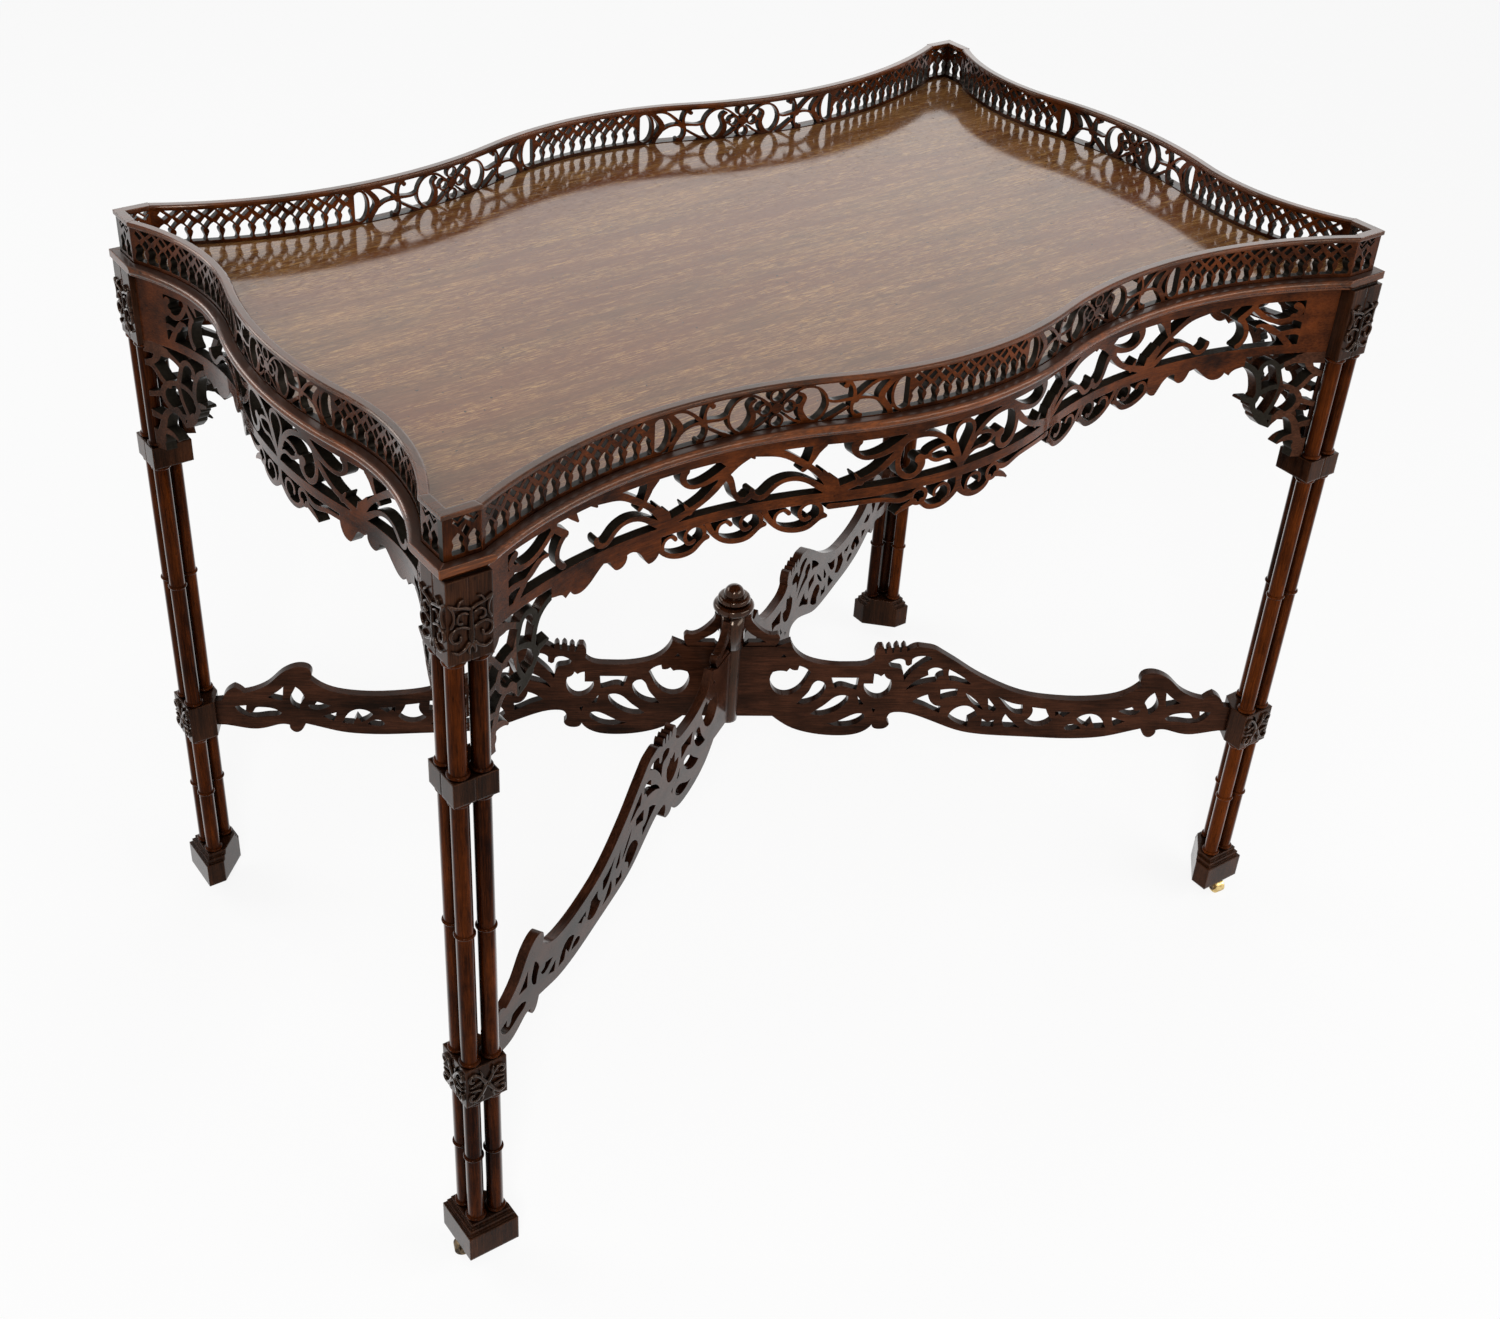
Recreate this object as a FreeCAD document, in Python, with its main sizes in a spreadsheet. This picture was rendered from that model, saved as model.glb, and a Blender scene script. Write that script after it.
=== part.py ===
"""Carved tea table with a pierced gallery, pierced aprons, cluster-column legs and a crossed stretcher.

Origin: middle of the table on the floor. X runs along the long sides, -Y is the front, Z is up.
All lengths are millimetres.
"""
import FreeCAD
import Part
import math
import os
import Sketcher

V = FreeCAD.Vector
UP = V(0, 0, 1)
NO_TURN = FreeCAD.Rotation()

# Driving dimensions

SIZES = (
    # plan of the top
    ("half_length", 457.9, "middle to the straight corner face on a short side"),
    ("half_depth", 287.0, "middle to the straight corner face on a long side"),
    ("long_kink", 427.0, "long side: where the curve meets the straight corner face"),
    ("long_valley", 245.0, "long side: place of the hollow's deepest point"),
    ("long_valley_out", 241.0, "long side: distance out at the hollow"),
    ("long_crown_out", 285.0, "long side: distance out at the middle swell"),
    ("short_kink", 255.0, "short side: where the curve meets the straight corner face"),
    ("short_valley", 155.0, "short side: place of the hollow's deepest point"),
    ("short_valley_out", 432.0, "short side: distance out at the hollow"),
    ("short_crown_out", 452.0, "short side: distance out at the middle swell"),
    # heights of the leg from the floor upward
    ("foot_gap", 17.0, "floor to the underside of the foot"),
    ("foot_block_height", 26.6, "plain part of the foot"),
    ("foot_step_height", 5.2, "each of the two steps on the foot"),
    ("lower_column_height", 145.7, "foot to stretcher block"),
    ("stretcher_block_height", 41.0, "block that takes the stretcher"),
    ("middle_column_height", 269.8, "stretcher block to collar"),
    ("collar_height", 21.2, "collar"),
    ("upper_column_height", 101.3, "collar to top block"),
    ("top_block_height", 67.0, "block that takes the aprons"),
    # board, moulding and gallery
    ("board_thickness", 10.0, "top board"),
    ("rebate_depth", 1.2, "step for the gallery at the board's edge"),
    ("rebate_inset", 7.2, "cap rail's outer line to the rebate's inner edge"),
    ("board_inset", 1.1, "cap rail's outer line to the board's edge"),
    ("moulding_inset", 1.0, "cap rail's outer line to the moulding's inner face"),
    ("moulding_top_width", 4.9, "moulding's top beyond the cap rail's outer line"),
    ("bead_radius", 3.5, "half-round of the edge moulding"),
    ("cove_foot", 3.2, "moulding's foot beyond the cap rail's outer line"),
    ("gallery_height", 33.6, "gallery panel"),
    ("gallery_thickness", 5.5, "gallery panel"),
    ("gallery_inset", 1.5, "cap rail's outer line to the gallery's outer face"),
    ("middle_arcade_half", 58.0, "long side: middle to the end of the middle arcade"),
    ("long_scroll_half", 101.0, "half the scrolled section on a long side"),
    ("short_scroll_half", 89.0, "half the scrolled section on a short side"),
    ("gallery_post", 1.6, "solid strip between two sections of the gallery"),
    ("corner_pattern_inset", 11.7, "corner's inner angle to the middle of a face's piercing"),
    ("cap_thickness", 3.6, "cap rail"),
    ("cap_width", 8.0, "cap rail"),
    ("cap_edge_slope", 1.1, "sloped edges of the cap rail"),
    # aprons and brackets
    ("apron_inset", 4.0, "cap rail's outer line to the apron's face"),
    ("apron_thickness", 9.0, "apron and brackets"),
    ("apron_top_band", 12.0, "solid band at the apron's top"),
    ("apron_open_height", 42.0, "pierced zone of the apron"),
    ("apron_mid_rail", 8.5, "solid rail under the pierced zone"),
    ("fringe_height", 24.5, "pierced fringe below the mid rail"),
    ("apron_end_plate", 26.6, "solid end of the apron beside the leg"),
    ("apron_end_run", 58.0, "scrolls beside the end plate, long side"),
    ("short_end_run", 34.0, "scrolls beside the end plate, short side"),
    ("spray_place", 107.5, "table's middle to the foot of the first spray"),
    ("outer_spray_place", 244.5, "table's middle to the foot of the outer spray"),
    ("bracket_width", 71.5, "bracket, away from the column"),
    ("column_gap", 0.3, "bracket to the column beside it"),
    ("apron_tenon_length", 8.0, "apron's tenon in the top block"),
    ("apron_tenon_height", 30.0, "apron's tenon"),
    ("apron_tenon_thickness", 5.0, "apron's tenon"),
    # legs
    ("leg_inset_x", 14.5, "straight corner face to the leg's middle, along X"),
    ("leg_inset_y", 9.5, "straight corner face to the leg's middle, along Y"),
    ("column_offset", 9.3, "leg's middle to each column's middle, along X and Y"),
    ("column_radius", 7.2, "column shaft"),
    ("column_base_ring", 1.8, "half the thickness of the rings at a column's ends"),
    ("column_band_ring", 1.5, "half the thickness of the ring on a column's shaft"),
    ("lower_band_height", 75.8, "foot's top to the ring on the lower columns"),
    ("middle_band_height", 138.7, "stretcher block to the ring on the middle columns"),
    ("spigot_radius", 3.0, "round tenon at a column's ends"),
    ("spigot_length", 5.0, "round tenon at a column's ends"),
    ("socket_gap", 0.1, "clearance round a round tenon, on the radius"),
    ("socket_end_gap", 0.2, "clearance past the end of any tenon"),
    ("mortise_gap", 0.15, "clearance round a flat tenon, each side"),
    ("foot_half", 23.6, "half the foot's width"),
    ("foot_step_inset", 2.6, "how far each step stands back"),
    ("foot_cant", 29.2, "foot's inner corner taken off along each side"),
    ("stretcher_block_half", 18.6, "half the stretcher block's width"),
    ("collar_half", 18.6, "half the collar's width"),
    ("top_block_half", 17.8, "half the top block's width"),
    ("groove_depth", 0.8, "V groove down the middle of a face"),
    ("board_spigot_radius", 5.0, "round tenon from the top block into the board"),
    ("board_spigot_length", 6.0, "round tenon from the top block into the board"),
    # stretcher
    ("arm_thickness", 9.0, "stretcher arm"),
    ("arm_end", 506.6, "hub's axis to the shoulder at the stretcher block"),
    ("arm_tenon_length", 10.0, "arm's tenon in the stretcher block"),
    ("arm_tenon_height", 20.0, "arm's tenon in the stretcher block"),
    ("arm_tenon_thickness", 6.0, "arm's tenon in the stretcher block"),
    ("arm_tongue_thickness", 5.0, "arm's tongue in the hub post"),
    ("arm_tongue_depth", 3.8, "arm's tongue in the hub post"),
    ("arm_paper_foot", 21.0, "floor to the foot of the paper the stretcher arm is drawn on"),
    ("arm_top_height", 307.0, "floor to the arm's flat top beside the hub"),
    ("arm_low_height", 223.0, "floor to the arm's underside beside the hub"),
    ("ear_thickness", 7.0, "scrolled ear on each arm"),
    ("hub_radius", 10.0, "hub post"),
    ("hub_foot", 5.0, "hub post below the arms"),
    ("finial_stem", 36.0, "finial's plain stem"),
    ("finial_ring_radius", 20.0, "finial's widest ring"),
    ("finial_ring_height", 9.4, "finial's widest ring"),
    ("finial_ring_edge", 4.4, "rounding of the widest ring's rim"),
    ("finial_collar_radius", 15.8, "stepped ring above the widest one"),
    ("finial_collar_height", 7.6, "stepped ring above the widest one"),
    ("finial_collar_edge", 3.6, "rounding of that ring's rim"),
    ("finial_dome_radius", 10.0, "small dome at the tip"),
    ("finial_dome_lift", 1.0, "stepped ring to the dome's middle"),
    ("finial_cup_height", 6.0, "flare under the widest ring"),
    ("finial_spigot_radius", 4.0, "finial's round tenon"),
    ("finial_spigot_length", 12.0, "finial's round tenon"),
    # castors
    ("castor_offset", 4.0, "leg's middle to the swivel axis, outward along X and Y"),
    ("castor_trail", 15.0, "swivel axis to the wheel's axle"),
    ("wheel_radius", 7.5, "castor wheel"),
    ("wheel_width", 10.0, "castor wheel"),
    ("wheel_edge_radius", 1.0, "rounding on the wheel's edges"),
    ("axle_radius", 1.5, "castor axle"),
    ("running_gap", 0.1, "clearance of a turning fit, on the radius"),
    ("fork_side_gap", 0.25, "wheel to fork, each side"),
    ("fork_wall", 1.75, "fork's cheek"),
    ("fork_eye_radius", 3.2, "fork's cheek round the axle"),
    ("crown_radius", 7.0, "fork's crown"),
    ("crown_thickness", 1.8, "fork's crown"),
    ("crown_gap", 0.2, "crown to plate and to the rivet's head"),
    ("plate_radius", 10.8, "castor plate"),
    ("plate_thickness", 1.8, "castor plate"),
    ("recess_radius", 11.5, "round recess under the foot"),
    ("recess_depth", 5.0, "round recess under the foot"),
    ("rivet_radius", 2.2, "swivel rivet"),
    ("rivet_head_radius", 3.2, "swivel rivet's head"),
    ("rivet_head_height", 0.8, "swivel rivet's head"),
    ("screw_circle", 8.2, "swivel axis to each plate screw"),
    ("screw_head_radius", 1.9, "plate screw"),
    ("screw_head_height", 0.8, "plate screw"),
    ("screw_radius", 1.0, "plate screw's shank"),
    ("screw_length", 7.0, "plate screw's shank"),
    # drawing grids of the carved work
    ("apron_grid", 1.0, "one square of the paper the apron is drawn on"),
    ("bracket_grid", 1.0, "one square of the paper the bracket is drawn on"),
    ("gallery_grid", 1.0, "one square of the paper the gallery is drawn on"),
    ("arm_grid", 1.0, "one square of the paper the stretcher arm is drawn on"),
    ("smallest_opening", 1.4, "side of the smallest opening that is pierced"),
    ("overrun", 6.0, "how far a cutting shape runs past what it cuts"),
)

SCREWS_PER_PLATE = 3
CASTOR_ANGLES = {"front_left": 160, "front_right": 265, "back_right": 30, "back_left": 60}
CORNERS = (("front_left", -1, -1), ("front_right", 1, -1), ("back_right", 1, 1), ("back_left", -1, 1))
HALF_TURN = 180
QUARTER_TURN = 90


def text_of(value):
    """The sheet expression of a value, or the plain number."""
    return value.text if isinstance(value, Size) else repr(float(value))


class Size(float):
    """A length that remembers the sheet expression it comes from."""

    def __new__(cls, value, text):
        size = super().__new__(cls, value)
        size.text = text
        return size

    def __add__(self, other):
        return Size(float(self) + float(other), "(%s + %s)" % (self.text, text_of(other)))

    def __radd__(self, other):
        return Size(float(other) + float(self), "(%s + %s)" % (text_of(other), self.text))

    def __sub__(self, other):
        return Size(float(self) - float(other), "(%s - %s)" % (self.text, text_of(other)))

    def __rsub__(self, other):
        return Size(float(other) - float(self), "(%s - %s)" % (text_of(other), self.text))

    def __mul__(self, other):
        return Size(float(self) * float(other), "(%s * %s)" % (self.text, text_of(other)))

    __rmul__ = __mul__

    def __truediv__(self, other):
        return Size(float(self) / float(other), "(%s / %s)" % (self.text, text_of(other)))

    def __neg__(self):
        return Size(-float(self), "(-1 * %s)" % self.text)


doc = FreeCAD.newDocument("TeaTable")


def make_sheet():
    """The spreadsheet with one named row for each driving dimension."""
    sheet = doc.addObject("Spreadsheet::Sheet", "Sizes")
    for row, (alias, value, meaning) in enumerate(SIZES, start=1):
        sheet.set("A%d" % row, alias)
        sheet.set("B%d" % row, str(value))
        sheet.set("C%d" % row, meaning)
        sheet.setAlias("B%d" % row, alias)
    doc.recompute()
    return sheet


class Sheet:
    """The sheet's cells as sizes, one attribute each."""

    def __init__(self, cells):
        for alias, _, _ in SIZES:
            setattr(self, alias, Size(cells.get(alias), "Sizes." + alias))


d = Sheet(make_sheet())
nodes = []

# Heights that follow from the sheet

FOOT_STEP_1 = d.foot_gap + d.foot_block_height
FOOT_STEP_2 = FOOT_STEP_1 + d.foot_step_height
FOOT_TOP = FOOT_STEP_2 + d.foot_step_height
STRETCHER_BLOCK_Z = FOOT_TOP + d.lower_column_height
MIDDLE_COLUMN_Z = STRETCHER_BLOCK_Z + d.stretcher_block_height
COLLAR_Z = MIDDLE_COLUMN_Z + d.middle_column_height
UPPER_COLUMN_Z = COLLAR_Z + d.collar_height
TOP_BLOCK_Z = UPPER_COLUMN_Z + d.upper_column_height
BOARD_Z = TOP_BLOCK_Z + d.top_block_height
BOARD_TOP = BOARD_Z + d.board_thickness
GALLERY_Z = BOARD_TOP - d.rebate_depth
CAP_Z = GALLERY_Z + d.gallery_height
OPEN_TOP = BOARD_Z - d.apron_top_band
OPEN_Z = OPEN_TOP - d.apron_open_height
MID_RAIL_Z = OPEN_Z - d.apron_mid_rail
FRINGE_Z = MID_RAIL_Z - d.fringe_height

LEG_X = d.half_length - d.leg_inset_x
LEG_Y = d.half_depth - d.leg_inset_y

# Ornament, drawn on squared paper: points are shares of one square, widths too

# apron: across from the middle of a spray's foot toward the leg, up from the mid rail's underside
SPRAY_SHARES = (
    (((4, 9), (11, 22), (21, 32), (32, 40), (43, 47), (56, 51), (68, 54)), (6, 5, 5, 5.5, 7, 9)),
    (((71, 53), (66.5, 48)), (6, 2)),
    (((92, 54), (88, 48.5), (84.5, 43.5)), (9, 6, 2)),
    (((67, 20), (64.5, 14.5), (59, 12.5), (50.6, 18.7), (38.3, 24.3), (25, 22.1), (14, 15), (3, 8)),
     (4.5, 4.3, 4.3, 3.6, 4, 4.6, 5.5, 6.5)),
    (((0, 8), (6, 20), (11, 28)), (8, 8, 2)),
    (((4, 18), (13, 26)), (6, 2)),
    (((0, 8), (1, 20)), (7, 1.8)),
    (((27, 31), (21, 38.5), (18, 45.5), (15, 52)), (4, 4, 6, 11)),
    (((-13, 50), (-11.5, 42.5), (-15, 37.5), (-32, 36), (-49, 43.5), (-68, 54)), (7.5, 3.6, 4, 5.5, 7, 9)),
    (((0, 8), (-10.6, 13), (-21.7, 17), (-31.7, 22.3), (-39.4, 28.7), (-46, 35.5)), (8, 6, 5, 5, 6, 6)),
    (((-18, 14), (-13, 22)), (5, 1.5)),
)
SPRAY_SCROLL_SHARES = (
    (((-44, 35.5), (-49, 36), (-52.6, 30.5), (-54.6, 23.5), (-57.6, 17), (-62.5, 13.4), (-68, 15.5)),
     (6, 6, 4.6, 4.2, 4.4, 5)),
    (((-46, 35.5), (-54, 43), (-62, 48.5), (-72, 54)), (5, 4.5, 6)),
)
# palmette: across from the table's middle
PALMETTE_SHARES = (
    (((0, 9), (3, 21), (7.5, 31), (10, 38.5), (8, 45), (-1, 48.5)), (3.2, 3, 3, 3.4)),
    (((1, 9), (5, 19), (10, 28.5), (23, 41.5), (42, 47), (55, 44), (60.5, 30), (56, 15.5), (47, 12),
      (40, 17), (41.5, 26)), (3.4, 5, 5, 4.6, 4.8, 5, 4.6, 4.2, 4.8, 4.6, 8)),
    (((1, 9), (8, 17.8), (15, 21), (25, 20.8), (32.8, 27), (24, 32.4), (9.5, 24.5)), (3, 3, 3.2, 3, 3, 3)),
    (((41, 26.5), (32, 26)), (4, 4)),
)
# end of the apron: across from the end plate's inner edge, negative toward the table's middle
APRON_END_SHARES = (
    (((-58, 38), (-51.2, 30), (-49.6, 22.5), (-52.4, 15), (-56, 12)), (5, 4.5, 4.5, 5)),
    (((-46.8, 47.5), (-38.4, 40), (-28.8, 34), (-18.8, 32), (-8.7, 34.4), (-3, 40), (-7.5, 46)),
     (5, 4.5, 4.5, 4.5, 5, 6)),
    (((-46, 52), (-47, 47)), (8, 5)),
    (((-58, 38), (-46.8, 47.5)), (6, 5)),
    (((-40, 29), (-31, 27.5), (-24.4, 22.5), (-16.5, 20), (-7.5, 21), (1, 20)), (3, 4.4, 4.5, 4.5, 5, 6)),
    (((-31, 29), (-17.6, 19), (-7.5, 8)), (4, 4.5, 6)),
    (((-9, 36), (1, 33)), (5, 7)),
)
# fringe: across from a lobe's middle, down from the mid rail's underside
FRINGE_SHARES = (
    (((-27, 3), (-20.5, -10.5), (-11.5, -18.5), (0, -21.8), (10, -20), (17, -14), (22, -12)),
     (5, 4.2, 4.2, 4.6, 4.6, 4)),
    (((-12, -17.5), (-17.5, -10.5), (-15.3, -4.3), (-9, -2.8), (-6, -6)), (3, 3, 2.8, 2.4, 3.4)),
    (((16, -14.5), (19.3, -8.5), (17.2, -2), (11, 1), (4.5, -1.5), (2.2, -7.5), (5.5, -13), (10, -12)),
     (3.6, 3.4, 3.2, 3, 3, 3, 3.6)),
)
FRINGE_PLACE_SHARES = (137, 184.5, 232)
FRINGE_MIDDLE_SHARES = (
    (((0, -8), (8, -18), (19, -21.5), (30, -19), (35, -12)), (6, 4.4, 4.6, 4.4, 4)),
    (((0, -9), (0, 2)), (5, 7)),
    (((42, -12), (50, -15), (57, -20)), (5, 5, 2)),
    (((46, -6), (57, -8), (68, -5), (80, -4), (100, -4), (112, -4)), (5, 4, 4, 4, 5)),
    (((14, -18), (9, -9), (14, -3), (22, -5), (23, -11)), (3, 3, 2.6, 2.6, 3)),
)
FRINGE_RING_SHARES = ((38, -8, 6.6, 6.6, 3.2),)
# fringe's solid end knobs: across from the bracket's inner end
FRINGE_END_SHARES = (
    (-103, 3), (-103, -12), (-99, -18), (-93, -19.5), (-89, -14), (-85, -8), (-79, -4), (-73, -4.5),
    (-72, -10), (-68, -13.5), (-63, -13.5), (-59, -9), (-57, -4.5), (-51, -3), (-46, -7), (-38, -14),
    (-29, -18), (-23, -17), (-19, -12.5), (-14, -16), (-9, -11), (-1, -9), (5, -4), (5, 3))

# bracket: away from the column's edge, down from the mid rail's underside
BRACKET_SHARES = (
    (((86, -3), (76.5, -6), (66.5, -10), (58, -18), (53.5, -30), (52.5, -40), (56.5, -49)), (6, 5, 5, 5, 5, 5)),
    (((53, -19), (53.5, -11), (47.5, -7.5), (41, -11), (37.5, -19), (34.5, -28), (32, -36)), (5, 4.6, 4.6, 5, 5)),
    (((38, -14), (30, -9), (20, -5), (12, -1)), (5, 5, 7, 10)),
    (((22, -6), (-3, -5)), (9, 12)),
    (((14, -6), (10, -16), (-3, -22)), (8, 5, 6)),
    (((22, -38), (13, -31), (8, -24), (-3, -22)), (5, 4.4, 4.4, 6)),
    (((14, -47), (7, -50), (-3, -52)), (5, 4.6, 6)),
    (((33, -34), (35, -46), (41, -60)), (4.5, 4, 4.5)),
    (((48, -60), (43, -66), (36, -73)), (9, 8, 2)),
    (((28, -60), (33, -66), (36, -73)), (7, 6, 2)),
    (((30, -61), (21, -62), (14, -69), (10, -80), (6, -92), (4, -106)), (5, 5, 6, 7, 8, 12)),
    (((10, -73), (-3, -70)), (5, 7)),
    (((4, -94), (-3, -94)), (14, 18)),
    (((11, -85), (19, -87), (24, -91)), (7, 5, 2)),
    (((59, -44), (67, -42)), (6, 3)),
)
BRACKET_RING_SHARES = (34.5, -48, 20.5, 15.5, 5)

# gallery: one scrolled section, across and up from its middle
SCROLL_STROKE_SHARES = (
    (((59, 0.4), (66, 7.3), (73.5, 12.9), (84.8, 14.8)), (3, 2.6, 3)),
    (((53.5, -5.9), (44.8, -11.5), (37.3, -16)), (2.6, 2.6, 4)),
    (((59, 0.4), (64.8, 1), (69.8, 0.4), (78, -3.2)), (3, 2.4, 2, 2.4)),
    (((58, 0), (56.6, -4), (57.3, -10.3), (62, -15)), (3.4, 2.4, 2.2, 4)),
    (((58, 1), (57.9, 7.3), (56, 12.3), (52, 16)), (3.4, 2.4, 2.2, 4)),
    (((60, 0.4), (52.3, 0.4), (44.8, -0.3), (38, 2)), (3.4, 2.6, 2.2, 2)),
    (((27.3, -16), (36, -9), (38.5, -1.5), (36, 7.3), (29.8, 12.9), (21, 14.1), (12.3, 9.8), (6, 4.6)),
     (3, 2.2, 2, 2, 2, 2, 2)),
    (((27.3, -16), (19.8, -9), (18.5, -1.5), (21, 4.8), (17.3, 9.5)), (5, 5, 3.6, 2.6)),
    (((30, -15.5), (16, -13), (7, -6.5)), (4, 2.2, 2)),
    (((19, -0.4), (13, 0.6)), (2.4, 2)),
    (((91, 16), (82.3, 7.3), (79, -0.3), (83.5, -7.8), (87, -16)), (4, 4.6, 5.4, 4.6, 4)),
)
SCROLL_RING_SHARES = ((0, 10.2, 5, 5, 1.8), (9.2, 0.4, 4.6, 4.6, 1.8), (0, -10.2, 5, 5, 1.8),
                      (96.6, 0.3, 9, 14.4, 2.2))
SCROLL_BUD_SHARES = ((0, 0, 4.2), (63, -13.6, 2), (51.5, 12, 2), (88.5, -9, 2), (59, 0.2, 3))
SCROLL_HALF_SHARE = 101
SCROLL_TOP_SHARE = 15
APRON_END_RUN_SHARE = 58
# gallery arcade: across from a lancet's middle, up from the gallery's foot
LANCET_SHARES = ((4.6, 4.2), (5.1, 9), (3.9, 12.6), (4.9, 15.2), (3.2, 17.8), (0, 20.5))
LANCET_PITCH_SHARE = 12.5
KITE_SHARES = ((0, 16.2), (3.4, 20.8), (0, 25.2), (-3.4, 20.8))
TRIANGLE_SHARES = ((-5.3, 32.2), (0, 27.4), (5.3, 32.2))
SMALL_TRIANGLE_SHARES = ((-2.5, 32.2), (0, 29.4), (2.5, 32.2))
SLOT_SHARES = ((-3.65, 26.5), (-0.35, 23.6), (4.2, 28.2), (2, 31.4))
CORNER_LANCET_PLACE_SHARE = 6.1
CORNER_LANCET_WIDTH_SHARE = 0.9
CORNER_KITE_SHARES = ((0, 15.7), (3, 21.5), (0, 25.6), (-3, 21.5))
CORNER_TRIANGLE_SHARES = ((-4, 32.6), (0, 29), (4, 32.6))
CORNER_SLOT_SHARES = ((-10, 28.9), (-5.8, 24.7), (0, 29.2), (5.8, 24.7), (10, 28.9), (8.6, 30.2), (5.8, 27.4),
                      (0, 32.3), (-5.8, 27.4), (-8.6, 30.2))

# stretcher arm: out from the hub's axis, up from the paper's foot
ARM_TOP_SHARES = (
    (43, 286), (58, 293), (65, 279), (75, 271), (90, 266), (105, 264), (120, 264), (135, 266), (142.5, 272),
    (142.5, 284), (144.5, 287.5), (148.5, 287.5), (150.5, 284), (151.5, 279.5), (153, 279.5), (153.6, 286),
    (155.4, 288), (157.2, 286), (158, 280.5), (160.3, 280.5), (161, 287.5), (162.8, 289.5), (164.6, 287.5),
    (165.4, 281.5), (167.6, 281.5), (168.3, 287.5), (170, 289.5), (171.8, 287.5), (172.8, 282), (176, 284.5),
    (182, 287.5), (190, 287), (200, 285), (210, 279), (222, 271), (240, 258),
    (260, 246), (280, 236), (300, 229), (325, 225), (350, 223.5), (375, 225), (395, 230), (405, 236), (412, 243),
    (410, 250), (412, 255), (420, 258), (430, 256), (440, 250), (452, 238), (465, 230), (478, 226), (482, 230),
    (487, 233), (492, 230), (500, 217))
ARM_BOTTOM_SHARES = (
    (500, 187), (485, 184), (470, 182), (455, 185), (445, 188), (436, 187), (434, 180), (430, 178), (426, 179.5),
    (423, 183), (420, 189), (400, 183), (385, 179), (365, 176.5), (340, 176), (310, 177.5), (280, 179),
    (255, 181), (235, 185), (215, 193), (195, 202), (180, 207), (170, 208), (163, 206), (161, 202),
    (163.5, 193), (160, 188), (154, 186.5), (148, 188), (146, 192), (140, 185), (130, 180), (115, 178),
    (100, 178.5), (80, 182), (62, 189), (52, 196), (45, 202))
ARM_SHOULDER_SHARES = (216, 187)
ARM_TENON_Z = d.arm_paper_foot + d.arm_grid * sum(ARM_SHOULDER_SHARES) / 2
ARM_HOLE_SHARES = (
    ((49, 274), (55, 274), (52, 278)),
    ((42, 256), (50, 258), (56, 257), (59, 261), (62, 259), (67, 259), (68, 264), (75, 261), (80, 256),
     (76, 247), (70, 236), (62, 229.5), (55, 228), (47, 231), (42, 238), (40, 246)),
    ((68, 217), (78, 218), (88, 223), (94, 231), (96, 240), (92, 245), (87, 246), (83, 242), (80, 234), (74, 225)),
    ((101, 250), (128, 250), (127, 235), (118, 238), (110, 239.5), (105, 237), (103, 243)),
    ((83, 205), (92, 203), (103, 206), (113, 213), (119, 222), (119.5, 227), (113, 228.5), (106, 226),
     (98, 218), (90, 211)),
    ((100, 193), (110, 190), (122, 190), (133, 195), (138, 201), (137, 205), (131, 206), (123, 203), (113, 197)),
    ((129, 227), (136, 217), (131, 217)),
    ((134, 243), (143, 243), (143, 255), (147, 254), (150, 252), (153, 255), (156, 250), (160, 248), (161, 238),
     (158, 230), (151, 225), (144, 226), (137, 232), (134, 239)),
    ((144, 213), (148, 211), (146, 206)),
    ((156, 268), (161, 272), (167, 273.5), (172, 271), (173, 267), (176, 265), (179, 267), (179, 273),
     (183, 276), (190, 277), (197, 275.5), (199, 273), (193, 270), (186, 264), (178, 255), (173, 246),
     (172, 255), (169, 261), (165, 262), (160, 263)),
    ((176, 235), (184, 240), (195, 244), (205, 246), (206, 250), (212, 254), (211, 260), (205, 263),
     (199, 262), (196, 259), (197, 254), (190, 250), (182, 244), (178, 239)),
    ((217, 261), (224, 257), (235, 249), (241, 243), (233, 244), (225, 247), (219, 247), (217, 255)),
    ((184, 221), (192, 227), (199, 230), (202, 222), (207, 217), (213, 216), (213, 207), (205, 211),
     (196, 216), (188, 219)),
    ((211, 236), (218, 237), (228, 237), (228, 229), (220, 227), (212, 224)),
    ((222, 203), (227, 212), (234, 216), (241, 216), (248, 211), (251, 204), (247, 201), (243, 198),
     (243, 190), (235, 193), (227, 198)),
    ((237, 232), (248, 223), (257, 211), (249, 216)),
    ((260, 226), (270, 213), (268, 209), (262, 212)),
    ((257, 200), (257, 191), (270, 190), (269, 199), (263, 196)),
    ((270, 228), (280, 222), (296, 218), (297, 207), (290, 207), (283, 212), (275, 222)),
    ((280, 206), (278, 196), (281, 190), (297, 189), (290, 195)),
    ((306, 215), (320, 213), (325, 203), (328, 199), (322, 193), (314, 191), (305, 194), (300, 198),
     (305, 203), (307, 208)),
    ((330, 210), (346, 209), (339, 203), (334, 207), (331, 204)),
    ((353, 201), (360, 206), (368, 207), (375, 204), (380, 198), (384, 190), (373, 189), (371, 194),
     (369, 198), (365, 191), (357, 196)),
    ((342, 189), (345, 193), (350, 194), (356, 192), (359, 188), (351, 186.5), (343, 187.5)),
    ((389, 203), (403, 198), (392, 192), (390, 197)),
    ((394, 211), (407, 216), (410, 212), (416, 212), (415, 209), (410, 206), (402, 207)),
    ((419, 221), (423, 230), (427, 234), (430, 228), (433, 220), (430, 210), (425, 207), (423, 214)),
    ((439, 234), (448, 226), (456, 221), (449, 219), (441, 217), (440, 225)),
    ((443, 202), (450, 207), (462, 209), (468, 208), (471, 203), (475, 202), (478, 205), (477, 211),
     (488, 210), (485, 203), (477, 197), (468, 196), (455, 198), (446, 199)),
)
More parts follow.
